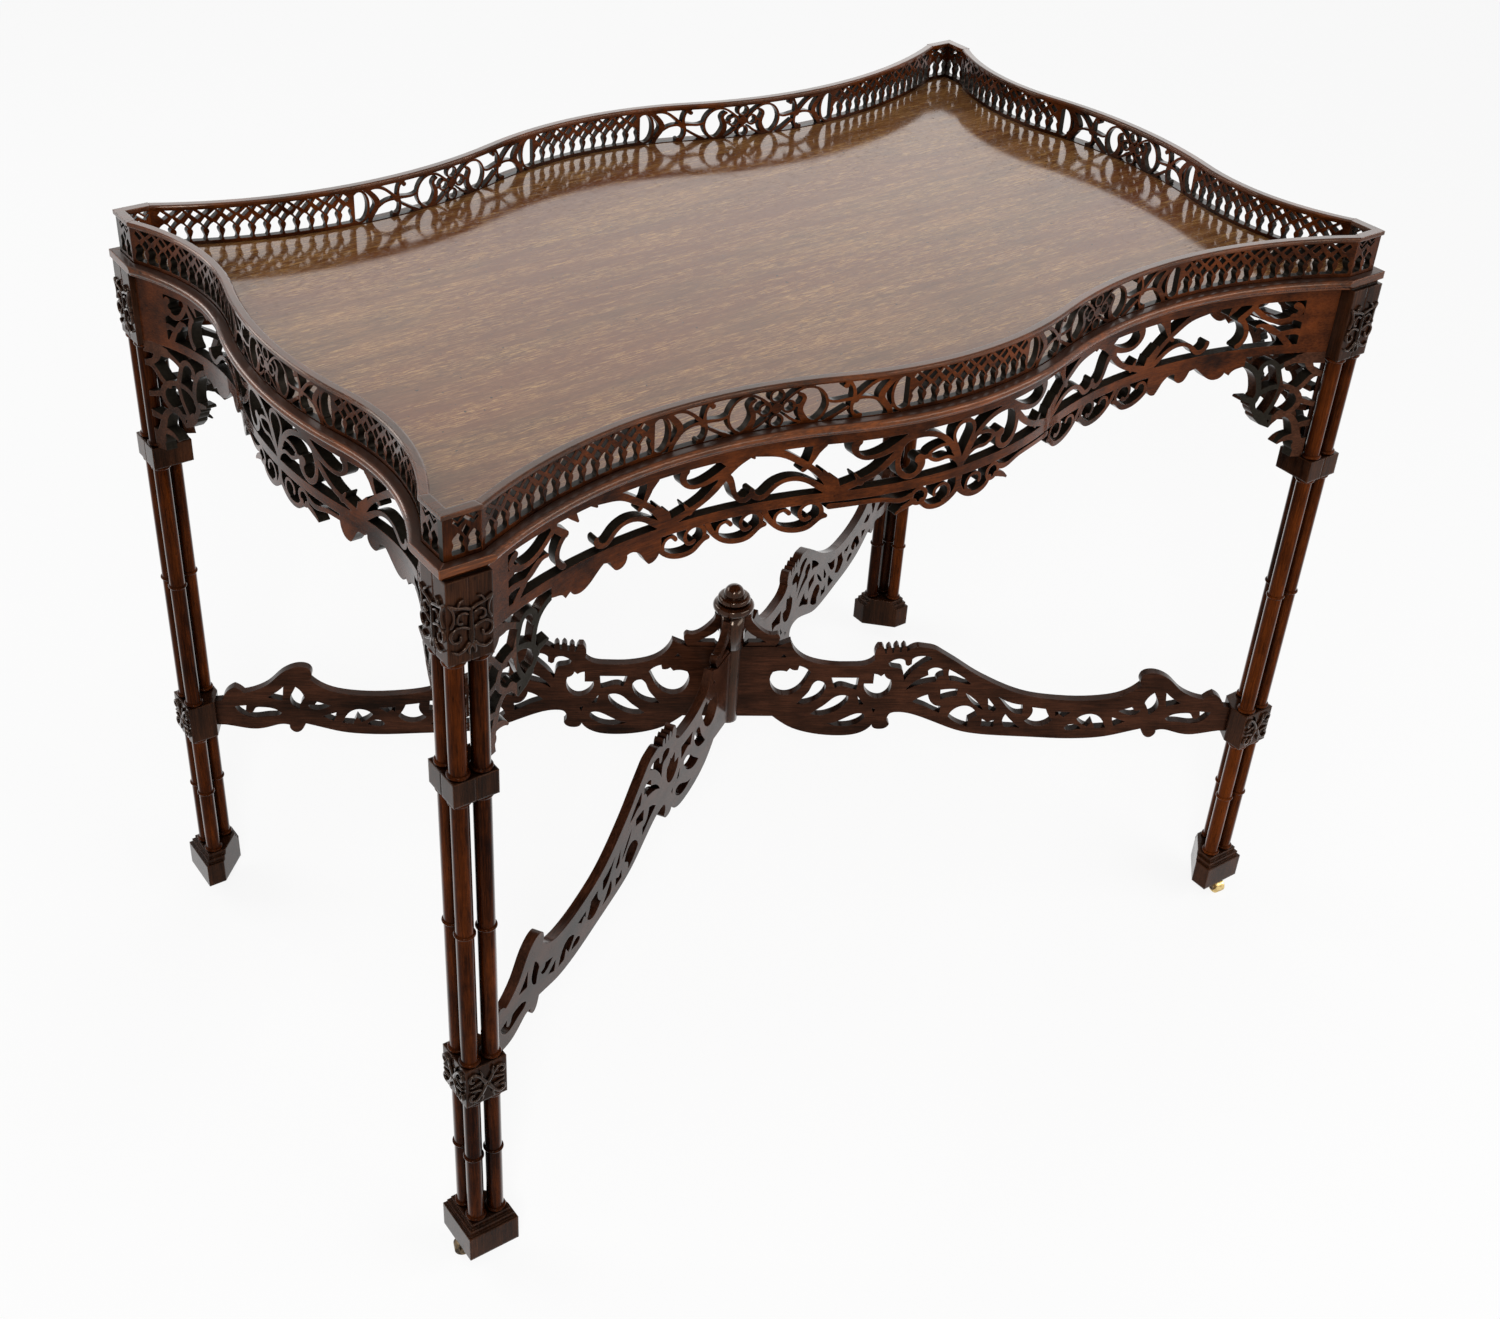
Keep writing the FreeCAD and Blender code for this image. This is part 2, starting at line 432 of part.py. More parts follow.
EAR_SHARES = ((10.4, 286), (10.4, 314), (10.7, 318.6), (12.8, 321.6), (15, 323.6), (17.6, 323), (17.6, 319.5),
              (22, 312), (30, 304), (38, 300),
              (44, 301), (47, 297), (46, 292), (42.8, 286))
EAR_HOLE_SHARES = ((14, 291), (14, 306), (20, 300), (30, 294), (34, 291))
# fork cheek: crown radius behind, crown radius ahead, trail at the recess edge, crown radius underneath
CHEEK_SHARES = (0.3, 0.64, 0.58, 0.35)
# the widths of an oval differ by less than this share where it is drawn as a circle
CIRCLE_SHARE = 0.001
SHARP_TURN = 50
CURVE_STEPS = 3


# Drawing in the XZ plane


def polygon(points):
    """A flat face with straight sides."""
    return Part.Face(Part.makePolygon(list(points) + [points[0]]))


def spline(points):
    """One smooth edge through the points."""
    if len(points) == 2:
        return Part.makeLine(points[0], points[1])
    curve = Part.BSplineCurve()
    curve.interpolate(points)
    return curve.toShape()


def turn_at(before, here, after):
    """How far, in degrees, the outline turns at a point."""
    return math.degrees((here - before).getAngle(after - here))


def smooth_outline(points):
    """A closed wire that is smooth except where the outline turns sharply."""
    count = len(points)
    sharp = [i for i in range(count)
             if turn_at(points[i - 1], points[i], points[(i + 1) % count]) > SHARP_TURN]
    if not sharp:
        curve = Part.BSplineCurve()
        curve.interpolate(Points=points, PeriodicFlag=True)
        return Part.Wire(curve.toShape())
    ring = points[sharp[0]:] + points[:sharp[0]] + [points[sharp[0]]]
    stops = [i - sharp[0] for i in sharp] + [count]
    edges = [spline(ring[a:b + 1]) for a, b in zip(stops, stops[1:])]
    return Part.Wire(edges)


def width_at(widths, place):
    """Width at a place from 0 to 1 along a stroke, between the given widths."""
    along = place * (len(widths) - 1)
    first = min(int(along), len(widths) - 2)
    return widths[first] + (widths[first + 1] - widths[first]) * (along - first)


def stroke(points, widths):
    """A flat carved stem of changing width with round ends, as a face."""
    if len(points) == 2:
        middle = (points[0] + points[1]) * 0.5
        points = [points[0], middle, points[1]]
    curve = Part.BSplineCurve()
    curve.interpolate(points)
    first, last = curve.FirstParameter, curve.LastParameter
    steps = CURVE_STEPS * (len(points) - 1)
    left, right = [], []
    for step in range(steps + 1):
        place = step / steps
        here = curve.value(first + (last - first) * place)
        along = curve.tangent(first + (last - first) * place)[0]
        side = V(-along.z, 0, along.x) * (width_at(widths, place) / 2)
        left.append(here + side)
        right.append(here - side)
    start = points[0] - curve.tangent(first)[0] * (widths[0] / 2)
    end = points[-1] + curve.tangent(last)[0] * (widths[-1] / 2)
    edges = [spline(left), Part.Arc(left[-1], end, right[-1]).toShape(),
             spline(right[::-1]), Part.Arc(right[0], start, left[0]).toShape()]
    return Part.Face(Part.Wire(edges))


def oval(middle, across, up):
    """A flat ellipse or circle as a face."""
    if abs(across - up) < across * CIRCLE_SHARE:
        curve = Part.Circle(middle, V(0, 1, 0), across)
    elif across > up:
        curve = Part.Ellipse(middle + V(across, 0, 0), middle + V(0, 0, up), middle)
    else:
        curve = Part.Ellipse(middle + V(0, 0, up), middle + V(across, 0, 0), middle)
    return Part.Face(Part.Wire(curve.toShape()))


def ring(middle, across, up, width):
    """A flat oval ring as a face; across and up go to the middle of its width."""
    half = width / 2
    return oval(middle, across + half, up + half).cut(oval(middle, across - half, up - half)).Faces[0]


def rectangle(x_low, x_high, z_low, z_high):
    """A flat upright rectangle as a face."""
    return polygon([V(x_low, 0, z_low), V(x_high, 0, z_low), V(x_high, 0, z_high), V(x_low, 0, z_high)])


class Paper:
    """Squared paper: turns shares of a square into places and lengths."""

    def __init__(self, square, across, up, mirror=1, stretch=1):
        self.square = float(square)
        self.stretch = stretch
        self.across = float(across)
        self.up = float(up)
        self.mirror = mirror

    def at(self, share):
        run = self.mirror * self.stretch * share[0] * self.square
        return V(self.across + run, 0, self.up + share[1] * self.square)

    def points(self, shares):
        return [self.at(share) for share in shares]

    def strokes(self, table):
        return [stroke(self.points(points), [w * self.square for w in widths]) for points, widths in table]

    def rings(self, table):
        return [ring(self.at(row[:2]), *[value * self.square for value in row[2:]]) for row in table]

    def buds(self, table):
        return [oval(self.at(row[:2]), row[2] * self.square, row[2] * self.square) for row in table]


def holes_between(zone, solid_faces):
    """The faces left of a zone when the carved work is taken out of it."""
    smallest = d.smallest_opening * d.smallest_opening
    return [face for face in zone.cut(solid_faces).Faces if face.Area > smallest]


def prisms(faces, front, back):
    """Cutting solids through the work, from y = front to y = back, for upright flat faces."""
    solids = []
    for face in faces:
        solid = face.copy()
        solid.translate(V(0, front, 0))
        solids.append(solid.extrude(V(0, back - front, 0)))
    return solids


# Plan curves of a side, drawn as the front: x along the side, y negative outward


class Side:
    """One serpentine side of the top: hollow, middle swell, hollow, between straight corner faces."""

    def __init__(self, kink, valley, valley_out, crown_out, face_out, end_out):
        self.kink = kink
        self.valley = valley
        self.valley_out = valley_out
        self.crown_out = crown_out
        self.face_out = face_out
        self.end_out = end_out
        rise = crown_out - valley_out
        centres = (valley * valley + rise * rise) / (2 * rise)
        run = kink - valley
        lift = face_out - valley_out
        self.valley_radius = (run * run + lift * lift) / (2 * lift)
        self.crown_radius = centres - self.valley_radius
        self.crown_centre = crown_out - self.crown_radius
        self.valley_centre = valley_out + self.valley_radius
        self.bend = math.asin(valley / centres)

    def valley_y(self, offset, x):
        """y of the hollow's arc, offset outward."""
        radius = self.valley_radius - offset
        return -(self.valley_centre - math.sqrt(radius * radius - (x - self.valley) ** 2))

    def meeting(self, offset):
        """x where the hollow's arc meets the straight corner face, both offset outward."""
        radius = self.valley_radius - offset
        drop = self.valley_centre - self.face_out - offset
        return self.valley + math.sqrt(radius * radius - drop * drop)

    def edges(self, offset, x_end):
        """The three arcs from -x_end to x_end."""
        crown = self.crown_radius + offset
        x_bend = crown * math.sin(self.bend)
        y_bend = -(self.crown_centre + crown * math.cos(self.bend))
        x_mid = (x_bend + x_end) / 2
        left_end = V(-x_end, self.valley_y(offset, x_end), 0)
        left_bend = V(-x_bend, y_bend, 0)
        right_bend = V(x_bend, y_bend, 0)
        right_end = V(x_end, self.valley_y(offset, x_end), 0)
        return [
            Part.Arc(left_end, V(-x_mid, self.valley_y(offset, x_mid), 0), left_bend).toShape(),
            Part.Arc(left_bend, V(0, -(self.crown_centre + crown), 0), right_bend).toShape(),
            Part.Arc(right_bend, V(x_mid, self.valley_y(offset, x_mid), 0), right_end).toShape(),
        ]

    def band(self, outer, inner, z_low, z_high, x_outer, x_inner):
        """A curved plate between two offsets, ending at the given places along the side."""
        out = self.edges(outer, x_outer)
        back = self.edges(inner, x_inner)
        left = Part.makeLine(back[0].Vertexes[0].Point, out[0].Vertexes[0].Point)
        right = Part.makeLine(out[2].Vertexes[1].Point, back[2].Vertexes[1].Point)
        wire = Part.Wire(Part.__sortEdges__(out + [right] + back + [left]))
        wire.translate(V(0, 0, z_low))
        return Part.Face(wire).extrude(V(0, 0, z_high - z_low))

    def whole_line(self, offset):
        """Edges of the side with its two corner faces, offset outward."""
        meet = self.meeting(offset)
        corner = self.end_out + offset
        y = -(self.face_out + offset)
        return ([Part.makeLine(V(-corner, y, 0), V(-meet, y, 0))] + self.edges(offset, meet)
                + [Part.makeLine(V(meet, y, 0), V(corner, y, 0))])


LONG = Side(float(d.long_kink), float(d.long_valley), float(d.long_valley_out), float(d.long_crown_out),
            float(d.half_depth), float(d.half_length))
SHORT = Side(float(d.short_kink), float(d.short_valley), float(d.short_valley_out), float(d.short_crown_out),
             float(d.half_length), float(d.half_depth))
# side, first node's name and turn, opposite node's name and turn
PAIRS = (
    (LONG, "front", 0, "back", HALF_TURN),
    (SHORT, "left", -QUARTER_TURN, "right", QUARTER_TURN),
)


def turned(shape, angle):
    """A copy of a shape turned about the table's upright axis."""
    copy = shape.copy()
    copy.rotate(V(0, 0, 0), UP, angle)
    return copy


def feature(label, shape, angle=0, place=V(0, 0, 0)):
    """A sub-part whose shape is worked out in code from the sheet's sizes."""
    part = doc.addObject("Part::Feature", label)
    part.Shape = shape
    part.Placement = FreeCAD.Placement(place, FreeCAD.Rotation(UP, angle))
    return node(part, label)


def node(part, label):
    """Names a finished sub-part and puts it on the list to be written."""
    part.Label = label
    nodes.append(part)
    return part


# Bound primitives, booleans and bodies


def primitive(kind, name, at, rotation=NO_TURN, **sizes):
    """A Part primitive with its sizes and place bound to the sheet."""
    part = doc.addObject("Part::" + kind, name)
    for prop, value in sizes.items():
        setattr(part, prop, float(value))
        if isinstance(value, Size):
            part.setExpression(prop, value.text)
    part.Placement = FreeCAD.Placement(V(*[float(value) for value in at]), rotation)
    for axis, value in zip("xyz", at):
        if isinstance(value, Size):
            part.setExpression("Placement.Base." + axis, value.text)
    return part


def block(name, half_x, half_y, x, y, z, height):
    """A box by its half widths and the middle of its underside."""
    return primitive("Box", name, (x - half_x, y - half_y, z),
                     Length=half_x * 2, Width=half_y * 2, Height=height)


def rod(name, radius, x, y, z, height):
    """An upright cylinder."""
    return primitive("Cylinder", name, (x, y, z), Radius=radius, Height=height)


def fuse(name, parts):
    """One solid from several touching ones."""
    part = doc.addObject("Part::MultiFuse", name)
    part.Shapes = parts
    part.Refine = True
    return part


def rounded(disc, radius):
    """A cylinder with both its rims rounded."""
    doc.recompute()
    rims = [i for i, edge in enumerate(disc.Shape.Edges, start=1)
            if edge.Curve.TypeId == "Part::GeomCircle"]
    part = doc.addObject("Part::Fillet", disc.Label + "_round")
    part.Base = disc
    part.Edges = [(i, float(radius), float(radius)) for i in rims]
    return part


def cut(name, base, tools):
    """A solid with other solids taken out of it."""
    part = doc.addObject("Part::Cut", name)
    part.Base = base
    part.Tool = tools[0] if len(tools) == 1 else fuse(name + "_tools", tools)
    return part


def plane_of(body, role):
    """One of a body's own origin planes."""
    return [item for item in body.Origin.OriginFeatures if item.Role == role][0]


def sketch_on(body, name, role, height=None):
    """An empty sketch on one of a body's origin planes, raised by a bound height."""
    sketch = body.newObject("Sketcher::SketchObject", name)
    sketch.AttachmentSupport = [(plane_of(body, role), "")]
    sketch.MapMode = "FlatFace"
    if height is not None:
        sketch.setExpression("AttachmentOffset.Base.z", height.text)
    return sketch


def draw_polygon(sketch, points):
    """A closed polygon whose corners are bound to the sheet."""
    count = len(points)
    for i in range(count):
        start, end = points[i], points[(i + 1) % count]
        line = Part.LineSegment(V(float(start[0]), float(start[1]), 0), V(float(end[0]), float(end[1]), 0))
        sketch.addGeometry(line, False)
    for i in range(count):
        sketch.addConstraint(Sketcher.Constraint("Coincident", i, 2, (i + 1) % count, 1))
    for i, corner in enumerate(points):
        for kind, value in zip(("DistanceX", "DistanceY"), corner):
            if float(value) == 0:
                line = -2 if kind == "DistanceX" else -1
                sketch.addConstraint(Sketcher.Constraint("PointOnObject", i, 1, line))
            else:
                index = sketch.addConstraint(Sketcher.Constraint(kind, -1, 1, i, 1, float(value)))
                sketch.setExpression("Constraints[%d]" % index, value.text)


def draw_circle(sketch, x, y, radius):
    """A circle whose middle and radius are bound to the sheet."""
    index = sketch.addGeometry(Part.Circle(V(float(x), float(y), 0), V(0, 0, 1), float(radius)), False)
    rows = [Sketcher.Constraint("Radius", index, float(radius))]
    values = [radius]
    for kind, value, line in (("DistanceX", x, -2), ("DistanceY", y, -1)):
        if float(value) == 0:
            sketch.addConstraint(Sketcher.Constraint("PointOnObject", index, 3, line))
        else:
            rows.append(Sketcher.Constraint(kind, -1, 1, index, 3, float(value)))
            values.append(value)
    for row, value in zip(rows, values):
        number = sketch.addConstraint(row)
        sketch.setExpression("Constraints[%d]" % number, value.text)


def pad(body, name, sketch, length, midplane=False):
    """Material raised from a sketch."""
    part = body.newObject("PartDesign::Pad", name)
    part.Profile = sketch
    part.Length = float(length)
    part.setExpression("Length", length.text)
    part.Midplane = midplane
    return part


def pocket(body, name, sketch, length, midplane=False, reverse=False):
    """Material cut away from a sketch, and a check that some was."""
    doc.recompute()
    before = body.Shape.Volume
    part = body.newObject("PartDesign::Pocket", name)
    part.Profile = sketch
    part.Length = float(length)
    part.setExpression("Length", length.text)
    part.Midplane = midplane
    part.Reversed = reverse
    doc.recompute()
    if not body.Shape.Volume < before:
        raise RuntimeError("%s cut nothing" % name)
    return part


# Board and edge moulding


def board_outline(offset, z):
    """The top's outline at an offset from the cap rail's outer line, as a face."""
    edges = []
    for side, _, turn, _, far_turn in PAIRS:
        for angle in (turn, far_turn):
            edges += [turned(edge, angle) for edge in side.whole_line(offset)]
    wire = Part.Wire(Part.__sortEdges__(edges))
    wire.translate(V(0, 0, z))
    return Part.Face(wire)


def make_board():
    """Board with a step for the gallery round its edge and a socket over each leg."""
    board = board_outline(-d.board_inset, BOARD_Z).extrude(UP * float(d.board_thickness))
    rim = board_outline(float(d.overrun), GALLERY_Z).extrude(UP * float(d.overrun))
    field = board_outline(-d.rebate_inset, GALLERY_Z).extrude(UP * float(d.overrun))
    sockets = [
        Part.makeCylinder(d.board_spigot_radius + d.socket_gap, d.board_spigot_length + d.socket_end_gap,
                          V(sx * LEG_X, sy * LEG_Y, BOARD_Z))
        for _, sx, sy in CORNERS]
    feature("top_board", board.cut(rim.cut(field)).cut(sockets))


def moulding_profile(x):
    """Section of the edge moulding in the YZ plane at x, with y measured from the path."""
    top = float(d.moulding_top_width)
    radius = float(d.bead_radius)
    inner = -float(d.moulding_inset)
    foot = float(d.cove_foot)
    low, high = float(BOARD_Z), float(BOARD_TOP)
    bead_foot = high - 2 * radius
    cove = bead_foot - low
    lean = math.sqrt(0.5)
    cove_middle = V(x, -(foot + (top - foot) * (1 - lean)), low + cove * lean)
    edges = [
        Part.makeLine(V(x, -inner, low), V(x, -inner, high)),
        Part.makeLine(V(x, -inner, high), V(x, -top, high)),
        Part.Arc(V(x, -top, high), V(x, -(top + radius), high - radius), V(x, -top, bead_foot)).toShape(),
        Part.Arc(V(x, -top, bead_foot), cove_middle, V(x, -foot, low)).toShape(),
        Part.makeLine(V(x, -foot, low), V(x, -inner, low)),
    ]
    return Part.Wire(edges)


def corner_wedge(side, reach):
    """A prism that holds everything of a side between its two 45 degree mitres."""
    far_x = side.end_out + reach
    far_y = side.face_out + reach
    short = min(far_x, far_y)
    corners = [V(-far_x, -far_y, 0), V(far_x, -far_y, 0), V(far_x - short, short - far_y, 0),
               V(short - far_x, short - far_y, 0)]
    if far_x == short:
        corners = corners[:3]
    return polygon(corners).extrude(UP * 2 * float(BOARD_TOP))


def make_mouldings():
    """Half-round edge moulding in four lengths, mitred at the corners."""
    for side, name, turn, far_name, far_turn in PAIRS:
        line = side.whole_line(0)
        reach = float(d.overrun)
        longer = side.end_out + reach
        line[0] = Part.makeLine(V(-longer, -side.face_out, 0), line[0].Vertexes[1].Point)
        line[-1] = Part.makeLine(line[-1].Vertexes[0].Point, V(longer, -side.face_out, 0))
        profile = moulding_profile(-longer)
        profile.translate(V(0, -side.face_out, 0))
        path = Part.Wire(line)
        strip = path.makePipeShell([profile], True, False, 1)
        strip = Part.Solid(strip) if strip.ShapeType == "Shell" else strip
        piece = strip.common(corner_wedge(side, reach)).Solids[0]
        feature("edge_moulding_" + name, piece, turn)
        feature("edge_moulding_" + far_name, piece, far_turn)


# Gallery


def lancet(x, stretch=1):
    """A cusped and pointed arch as a face."""
    right = Paper(d.gallery_grid, x, GALLERY_Z, 1, stretch).points(LANCET_SHARES)
    left = Paper(d.gallery_grid, x, GALLERY_Z, -1, stretch).points(LANCET_SHARES[-2::-1])
    return Part.Face(smooth_outline(right + left))


def arcade(start, end, from_middle):
    """Lancets with kites, slots and triangles above them, between two places on the right."""
    grid = float(d.gallery_grid)
    count = round((end - start) / (LANCET_PITCH_SHARE * grid))
    pitch = (end - start) / count
    faces = []
    for i in range(count):
        middle = start + pitch * (i + 0.5)
        faces.append(lancet(middle))
        lean = 1 if i % 2 == 0 else -1
        faces.append(polygon(Paper(grid, middle, GALLERY_Z, lean).points(SLOT_SHARES)))
    for i in range(0 if from_middle else 1, count):
        paper = Paper(grid, start + pitch * i, GALLERY_Z)
        faces.append(polygon(paper.points(KITE_SHARES)))
        faces.append(polygon(paper.points(TRIANGLE_SHARES if i % 2 == 0 else SMALL_TRIANGLE_SHARES)))
    return faces


def scrolls(middle, half, mirrors):
    """The openings of a scrolled section about one place; mirrors says which of its halves are drawn."""
    grid = float(d.gallery_grid)
    across = half / SCROLL_HALF_SHARE
    height = GALLERY_Z + d.gallery_height / 2
    solid = []
    for mirror in mirrors:
        paper = Paper(grid, middle, height, mirror, across)
        solid += paper.strokes(SCROLL_STROKE_SHARES)
        solid += paper.rings(SCROLL_RING_SHARES)
        solid += paper.buds(SCROLL_BUD_SHARES)
    low = middle - half if -1 in mirrors else middle
    zone = rectangle(low, middle + half, height - SCROLL_TOP_SHARE * grid, height + SCROLL_TOP_SHARE * grid)
    return holes_between(zone, solid)


def pierced(side, band, holes):
    """A curved panel with openings drawn for its right half, cut in both halves."""
    front = -(side.face_out + side.crown_radius + d.overrun)
    back = -(side.valley_out - d.overrun - d.apron_thickness - d.apron_inset)
    box = band.BoundBox
    low = V(0, box.YMin - d.overrun, box.ZMin - d.overrun)
    right = band.common(Part.makeBox(box.XMax + d.overrun, box.YLength + 2 * d.overrun,
                                     box.ZLength + 2 * d.overrun, low))
    half = right.cut(prisms(holes, front, back))
    return half.fuse(half.mirror(V(0, 0, 0), V(1, 0, 0)))


def make_gallery():
    """Four pierced panels standing in the board's rebate."""
    outer = -d.gallery_inset
    inner = outer - d.gallery_thickness
    post = d.gallery_post
    middle = d.middle_arcade_half + post + d.long_scroll_half
    long_holes = arcade(0, d.middle_arcade_half, True)
    long_holes += scrolls(middle, d.long_scroll_half, (1, -1))
    long_holes += arcade(middle + d.long_scroll_half + post, d.long_kink - post, False)
    short_holes = scrolls(0, d.short_scroll_half, (1,))
    short_holes += arcade(d.short_scroll_half + post, d.short_kink - post, False)
    for (side, name, turn, far_name, far_turn), holes in zip(PAIRS, (long_holes, short_holes)):
        band = side.band(outer, inner, GALLERY_Z, CAP_Z, side.meeting(outer), side.meeting(inner))
        panel = pierced(side, band, holes)
        feature("gallery_" + name, panel, turn)
        feature("gallery_" + far_name, panel, far_turn)


def corner_angle_plate(outer, inner, z_low, z_high):
    """An L-shaped plate round the front right corner, between two offsets."""
    points = [
        V(LONG.meeting(outer), -(LONG.face_out + outer), z_low),
        V(LONG.end_out + outer, -(LONG.face_out + outer), z_low),
        V(SHORT.face_out + outer, -SHORT.meeting(outer), z_low),
        V(SHORT.face_out + inner, -SHORT.meeting(inner), z_low),
        V(LONG.end_out + inner, -(LONG.face_out + inner), z_low),
        V(LONG.meeting(inner), -(LONG.face_out + inner), z_low),
    ]
    return polygon(points).extrude(V(0, 0, z_high - z_low))


def corner_holes(middle):
    """Two lancets with a kite, a zigzag slot and two triangles above them."""
    grid = float(d.gallery_grid)
    apart = CORNER_LANCET_PLACE_SHARE * grid
    faces = [lancet(middle + mirror * apart, CORNER_LANCET_WIDTH_SHARE) for mirror in (-1, 1)]
    paper = Paper(grid, middle, GALLERY_Z)
    faces.append(polygon(paper.points(CORNER_KITE_SHARES)))
    faces.append(polygon(paper.points(CORNER_SLOT_SHARES)))
    for mirror in (-1, 1):
        side = Paper(grid, middle + mirror * apart, GALLERY_Z)
        faces.append(polygon(side.points(CORNER_TRIANGLE_SHARES)))
    return faces


def make_gallery_corners():
    """Four pierced corner pieces between the panels, and the four caps over them."""
    outer = -d.gallery_inset
    inner = outer - d.gallery_thickness
    plate = corner_angle_plate(outer, inner, GALLERY_Z, CAP_Z)
    margin = d.gallery_thickness
    long_middle = LONG.end_out + inner - d.corner_pattern_inset
    short_middle = SHORT.end_out + inner - d.corner_pattern_inset
    tools = prisms(corner_holes(long_middle), -(LONG.face_out + margin), -(LONG.face_out + inner - margin))
    for tool in prisms(corner_holes(-short_middle), -(SHORT.face_out + margin),
                       -(SHORT.face_out + inner - margin)):
        tools.append(turned(tool, QUARTER_TURN))
    plate = plate.cut(tools)
    cap = corner_angle_plate(0, -d.cap_width, CAP_Z, CAP_Z + d.cap_thickness)
    caps = []
    for name, sx, sy in CORNERS:
        turn = 0 if sy < 0 else HALF_TURN
        pair = [plate, cap]
        if sx * sy > 0:
            pair = [shape.mirror(V(0, 0, 0), V(1, 0, 0)) for shape in pair]
        feature("gallery_corner_" + name, pair[0], turn)
        caps.append(turned(pair[1], turn))
    feature("corner_caps", Part.makeCompound(caps))


def cap_profile():
    """Section of the cap rail in the YZ plane, with y measured inward from its outer edge."""
    low, high = float(CAP_Z), CAP_Z + d.cap_thickness
    width, slope = float(d.cap_width), float(d.cap_edge_slope)
    shoulder = high - slope
    return polygon([V(0, width, low), V(0, 0, low), V(0, 0, shoulder), V(0, slope, high),
                    V(0, width - slope, high), V(0, width, shoulder)])


def along_side(side, profile, reach):
    """A profile carried round the three arcs of a side, a little past both kinks."""
    bend = math.degrees(side.bend)
    past = math.degrees(math.asin((side.kink + reach - side.valley) / side.valley_radius))
    runs = []
    for x, out, centre, start, end in (
            (0, side.crown_out, side.crown_centre, -bend, bend),
            (side.valley, side.valley_out, side.valley_centre, -past, bend),
            (-side.valley, side.valley_out, side.valley_centre, -bend, past)):
        section = profile.copy()
        section.translate(V(x, -out, 0))
        middle = V(x, -centre, 0)
        section.rotate(middle, UP, start)
        runs.append(section.revolve(middle, UP, end - start))
    return runs[0].fuse(runs[1:])


def between_kinks(side, outer, inner, reach):
    """A tall prism whose ends lean as the side's plates do, between two offsets and beyond them."""
    far = V(side.meeting(outer), side.valley_y(outer, side.meeting(outer)), 0)
    near = V(side.meeting(inner), side.valley_y(inner, side.meeting(inner)), 0)
    lean = (near - far).normalize() * reach
    corners = [far - lean, near + lean]
    corners += [V(-point.x, point.y, 0) for point in reversed(corners)]
    return polygon(corners).extrude(UP * 2 * float(CAP_Z))


def make_cap_rails():
    """Cap rails with sloped edges along the gallery panels."""
    for side, name, turn, far_name, far_turn in PAIRS:
        rail = along_side(side, cap_profile(), float(d.overrun))
        ends = between_kinks(side, 0, -d.cap_width, side.crown_out - side.valley_out + d.overrun)
        rail = rail.common(ends).removeSplitter()
        feature("cap_rail_" + name, rail.Solids[0], turn)
        feature("cap_rail_" + far_name, rail.Solids[0], far_turn)


# Aprons and brackets


def apron_openings(x_end, end_run, outer_spray, lobes):
    """Openings of an apron's right half: the pierced zone, then the fringe below the mid rail."""
    grid = float(d.apron_grid)
    plate = x_end - d.apron_end_plate
    sprays = [Paper(grid, d.spray_place, MID_RAIL_Z)]
    solid = Paper(grid, 0, MID_RAIL_Z).strokes(PALMETTE_SHARES)
    if outer_spray:
        sprays.append(Paper(grid, d.outer_spray_place, MID_RAIL_Z))
        solid += sprays[-1].strokes(SPRAY_SCROLL_SHARES)
    for paper in sprays:
        solid += paper.strokes(SPRAY_SHARES)
    end_paper = Paper(grid, plate, MID_RAIL_Z, 1, end_run / APRON_END_RUN_SHARE)
    solid += end_paper.strokes(APRON_END_SHARES)
    openings = holes_between(rectangle(0, plate, OPEN_Z, OPEN_TOP), solid)
    middle_paper = Paper(grid, 0, MID_RAIL_Z)
    fringe = middle_paper.strokes(FRINGE_MIDDLE_SHARES) + middle_paper.rings(FRINGE_RING_SHARES)
    for lobe in lobes:
        fringe += Paper(grid, lobe * grid, MID_RAIL_Z, -1).strokes(FRINGE_SHARES)
    bracket_start = x_end - (d.column_gap + d.column_radius + d.column_offset - d.top_block_half)
    bracket_start = bracket_start - d.bracket_width
    end_paper = Paper(grid, bracket_start, MID_RAIL_Z)
    low = FRINGE_Z - d.overrun
    beside = rectangle(bracket_start, x_end, low, MID_RAIL_Z + d.overrun)
    fringe.append(Part.Face(smooth_outline(end_paper.points(FRINGE_END_SHARES))).cut(beside))
    below = rectangle(-d.overrun, x_end + d.overrun, low, MID_RAIL_Z)
    return openings + holes_between(below, fringe)


def apron_tenon(side, x_end):
    """Flat tenon on an apron's right end, level with the pierced zone."""
    y = side.valley_y(-(d.apron_inset + d.apron_thickness / 2), x_end)
    middle = (OPEN_Z + OPEN_TOP) / 2
    root = d.apron_tenon_thickness / 2
    return Part.makeBox(d.apron_tenon_length + root, d.apron_tenon_thickness, d.apron_tenon_height,
                        V(x_end - root, y - d.apron_tenon_thickness / 2, middle - d.apron_tenon_height / 2))


def make_aprons():
    """Four pierced aprons tenoned between the legs' top blocks."""
    outer = -d.apron_inset
    inner = outer - d.apron_thickness
    rows = ((LEG_X - d.top_block_half, d.apron_end_run, True, FRINGE_PLACE_SHARES),
            (LEG_Y - d.top_block_half, d.short_end_run, False, ()))
    for (side, name, turn, far_name, far_turn), (x_end, end_run, outer_spray, lobes) in zip(PAIRS, rows):
        band = side.band(outer, inner, FRINGE_Z, BOARD_Z, x_end, x_end)
        apron = pierced(side, band, apron_openings(x_end, end_run, outer_spray, lobes))
        tenon = apron_tenon(side, x_end)
        apron = apron.fuse([tenon, tenon.mirror(V(0, 0, 0), V(1, 0, 0))])
        feature("apron_" + name, apron, turn)
        feature("apron_" + far_name, apron, far_turn)


